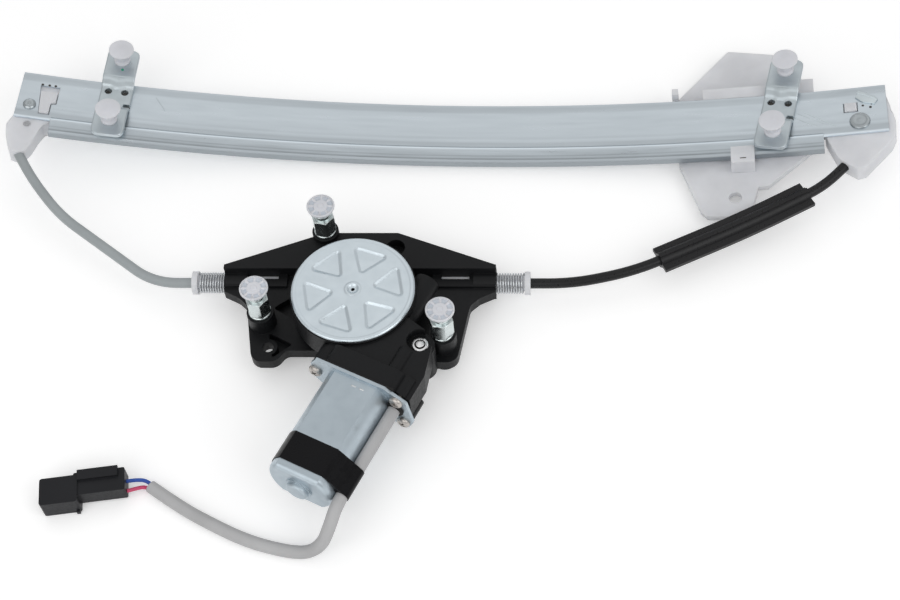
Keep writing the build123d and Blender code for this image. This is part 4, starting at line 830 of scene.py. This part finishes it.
def add_guide(name, rivet, outline, hook, spots):
    """Moulded guide with rounded edges, its hook through the web and small moulding marks."""
    bm = bmesh.new()
    place = seat(rivet[0])
    prism(bm, place, outline[::-1], GUIDE_TOP - GUIDE_H, GUIDE_TOP, GUIDE_ROUND)
    prism(bm, place, hook[::-1], GUIDE_TOP - HOOK_DEPTH, HOOK_TOP, HOOK_ROUND)
    for x, y, r in spots:
        lathe(bm, place @ at(x, y, GUIDE_TOP), (
            (r + 0.35, -0.1), (r + 0.3, 0.12), (r, 0.15), (r - 0.25, -0.05), (0, -0.05)), 24)
    add_piece(name + "_moulding", bm, "white_nylon", NYLON, replaces=[name], crease=40)


add_guide("left_cable_guide", LEFT_RIVET, LEFT_GUIDE, LEFT_HOOK, ((1.0, 68.4, 1.5),))
add_guide("right_cable_guide", RIGHT_RIVET, RIGHT_GUIDE, RIGHT_HOOK, ())


RIVETS = ((LEFT_RIVET, 3.3), (RIGHT_RIVET, 5.05))      # place, and radius of the head
RIVET_LOW, RIVET_SHANK = -10.9, 2.35


def add_rivets():
    """Domed rivet heads: a small one on the left end, a wide turned one on the right."""
    bm = bmesh.new()
    for (x, y), head in RIVETS:
        lathe(bm, seat(x, y, 0.0), (
            (0, RIVET_LOW), (RIVET_SHANK, RIVET_LOW), (RIVET_SHANK, 0), (head - 0.1, 0), (head, 0.35),
            (head - 0.35, 0.85), (head * 0.72, 1.15), (head * 0.66, 0.95), (head * 0.3, 0.8),
            (head * 0.22, 1.0), (0, 1.05)), 48)
    add_piece("end_rivets", bm, "zinc_steel", RIVET_STEEL, replaces=["guide_rivets"], crease=35)


add_rivets()


# ------------------------------------------------------------------ bent tab and creases on the web
TAB = ((0.2, 98.0), (8.0, 93.4), (9.6, 91.4), (7.6, 88.6), (2.0, 90.4), (-1.4, 93.6))
TAB_LOW, TAB_HIGH, TAB_ROUND = 0.02, 0.75, 0.22
TAB_RIDGE = ((-0.6, 96.4), (3.6, 94.6), (8.6, 91.6))
RIDGE_HEIGHT, RIDGE_R = 0.85, 0.3
TAB_HOLES = ((2.0, 88.6, 0.6), (5.6, 87.2, 0.7), (6.2, 89.2, 0.45))    # x, y and radius
WEB_HOLES_X, WEB_HOLES_Y, WEB_HOLE_R = (-210.1, -206.6, -203.5), 93.9, 0.7
CREASES = (
    ((176.5, 88.0), (190.0, 79.5)), ((176.0, 84.5), (187.5, 77.6)),
    ((181.0, 87.5), (196.0, 76.8)), ((-152.0, 94.2), (-146.0, 86.0)),
)
CREASE_R, CREASE_SUNK, CREASE_STEPS = 0.26, 0.12, 10


def add_tab():
    """Tab bent up from the web beside the right rivet, with its relief holes drawn as flat dark discs
    of painted shade.
    """
    bm = bmesh.new()
    place = seat(RIGHT_RIVET[0])
    prism(bm, place, TAB[::-1], TAB_LOW, TAB_HIGH, TAB_ROUND)
    tube(bm, [place @ Vector((x, y, RIDGE_HEIGHT)) for x, y in TAB_RIDGE], RIDGE_R, 8)
    add_piece("web_tab", bm, "zinc_steel", ZINC, crease=40)
    # flat dark discs that stand in for the shade inside the relief holes
    bm = bmesh.new()
    for x, y, r in TAB_HOLES:
        lathe(bm, place @ at(x, y, 0), ((r, 0), (r, 0.05), (0, 0.06)), 16)
    for x in WEB_HOLES_X:
        lathe(bm, seat(x, WEB_HOLES_Y), ((WEB_HOLE_R, 0), (WEB_HOLE_R, 0.05), (0, 0.06)), 12)
    add_piece("web_relief_hole_shade", bm, "zinc_steel", PAINTED_HOLE_SHADE, crease=40)
    bm = bmesh.new()
    for (x0, y0), (x1, y1) in CREASES:
        path = []
        for i in range(CREASE_STEPS + 1):
            x, y = x0 + (x1 - x0) * i / CREASE_STEPS, y0 + (y1 - y0) * i / CREASE_STEPS
            path.append(seat(x) @ Vector((0, y, -CREASE_SUNK)))
        tube(bm, path, CREASE_R, 8)
    add_piece("web_creases", bm, "zinc_steel", ZINC, crease=60)


add_tab()


# ------------------------------------------------------------------ stage
PANEL_AT = (0.0, 0.54, 0.84)      # towards a wide pale panel, high behind the part
WORLD_LIGHT = ((0.0, 0.42), (0.55, 0.45), (0.84, 0.62), (0.93, 0.80))   # by cosine from the panel
FLOOR_HALF = 4.0
FLOOR_Z = -0.0004                 # just under the object
FLOOR_COLOR = (0.93, 0.93, 0.93)
FLOOR_GLOW = 0.27                 # keeps the floor white to the camera and in reflections
LAMPS = (                         # name, place, size and power
    ("key", (-0.6, -1.15, 1.1), 2.0, 9.8),
    ("fill", (1.25, -0.8, 1.15), 1.5, 7.6),
)


def add_stage():
    """Plain pale floor, soft lamps and a pale world."""
    scene = bpy.context.scene
    scene.view_settings.view_transform = "Standard"
    mesh = bpy.data.meshes.new("floor")
    corners = ((-1, -1), (1, -1), (1, 1), (-1, 1))
    mesh.from_pydata([(x * FLOOR_HALF, y * FLOOR_HALF, 0) for x, y in corners], [], [(0, 1, 2, 3)])
    floor = bpy.data.objects.new("floor", mesh)
    floor.location.z = FLOOR_Z
    scene.collection.objects.link(floor)
    paint, tree, shader = new_material("floor_paint", FLOOR_COLOR, 0.9)
    shader.inputs["Specular IOR Level"].default_value = 0.1
    rays = tree.nodes.new("ShaderNodeLightPath")
    seen = rays.outputs["Is Camera Ray"]
    for kind in ("Is Glossy Ray", "Is Transmission Ray"):
        either = tree.nodes.new("ShaderNodeMath")
        either.operation = "MAXIMUM"
        tree.links.new(seen, either.inputs[0])
        tree.links.new(rays.outputs[kind], either.inputs[1])
        seen = either.outputs["Value"]
    glow = tree.nodes.new("ShaderNodeMath")
    glow.operation = "MULTIPLY"
    glow.inputs[1].default_value = FLOOR_GLOW
    tree.links.new(seen, glow.inputs[0])
    shader.inputs["Emission Color"].default_value = (1, 1, 1, 1)
    tree.links.new(glow.outputs["Value"], shader.inputs["Emission Strength"])
    mesh.materials.append(paint)
    floor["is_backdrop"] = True

    world = bpy.data.worlds.new("studio")
    scene.world = world
    world.use_nodes = True
    tree = world.node_tree
    background = tree.nodes["Background"]
    place = tree.nodes.new("ShaderNodeTexCoord")
    facing = tree.nodes.new("ShaderNodeVectorMath")
    facing.operation = "DOT_PRODUCT"
    facing.inputs[1].default_value = PANEL_AT
    fall = tree.nodes.new("ShaderNodeValToRGB")
    set_greys(fall, WORLD_LIGHT)
    tree.links.new(place.outputs["Generated"], facing.inputs[0])
    tree.links.new(facing.outputs["Value"], fall.inputs["Fac"])
    tree.links.new(fall.outputs["Color"], background.inputs["Strength"])
    background.inputs["Color"].default_value = (1, 1, 1, 1)

    for name, place, size, power in LAMPS:
        data = bpy.data.lights.new(name, "AREA")
        data.shape = "DISK"
        data.size = size
        data.energy = power
        lamp = bpy.data.objects.new(name, data)
        lamp.location = place
        lamp.rotation_euler = (-Vector(place)).to_track_quat("-Z", "Y").to_euler()
        scene.collection.objects.link(lamp)


add_stage()

low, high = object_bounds()
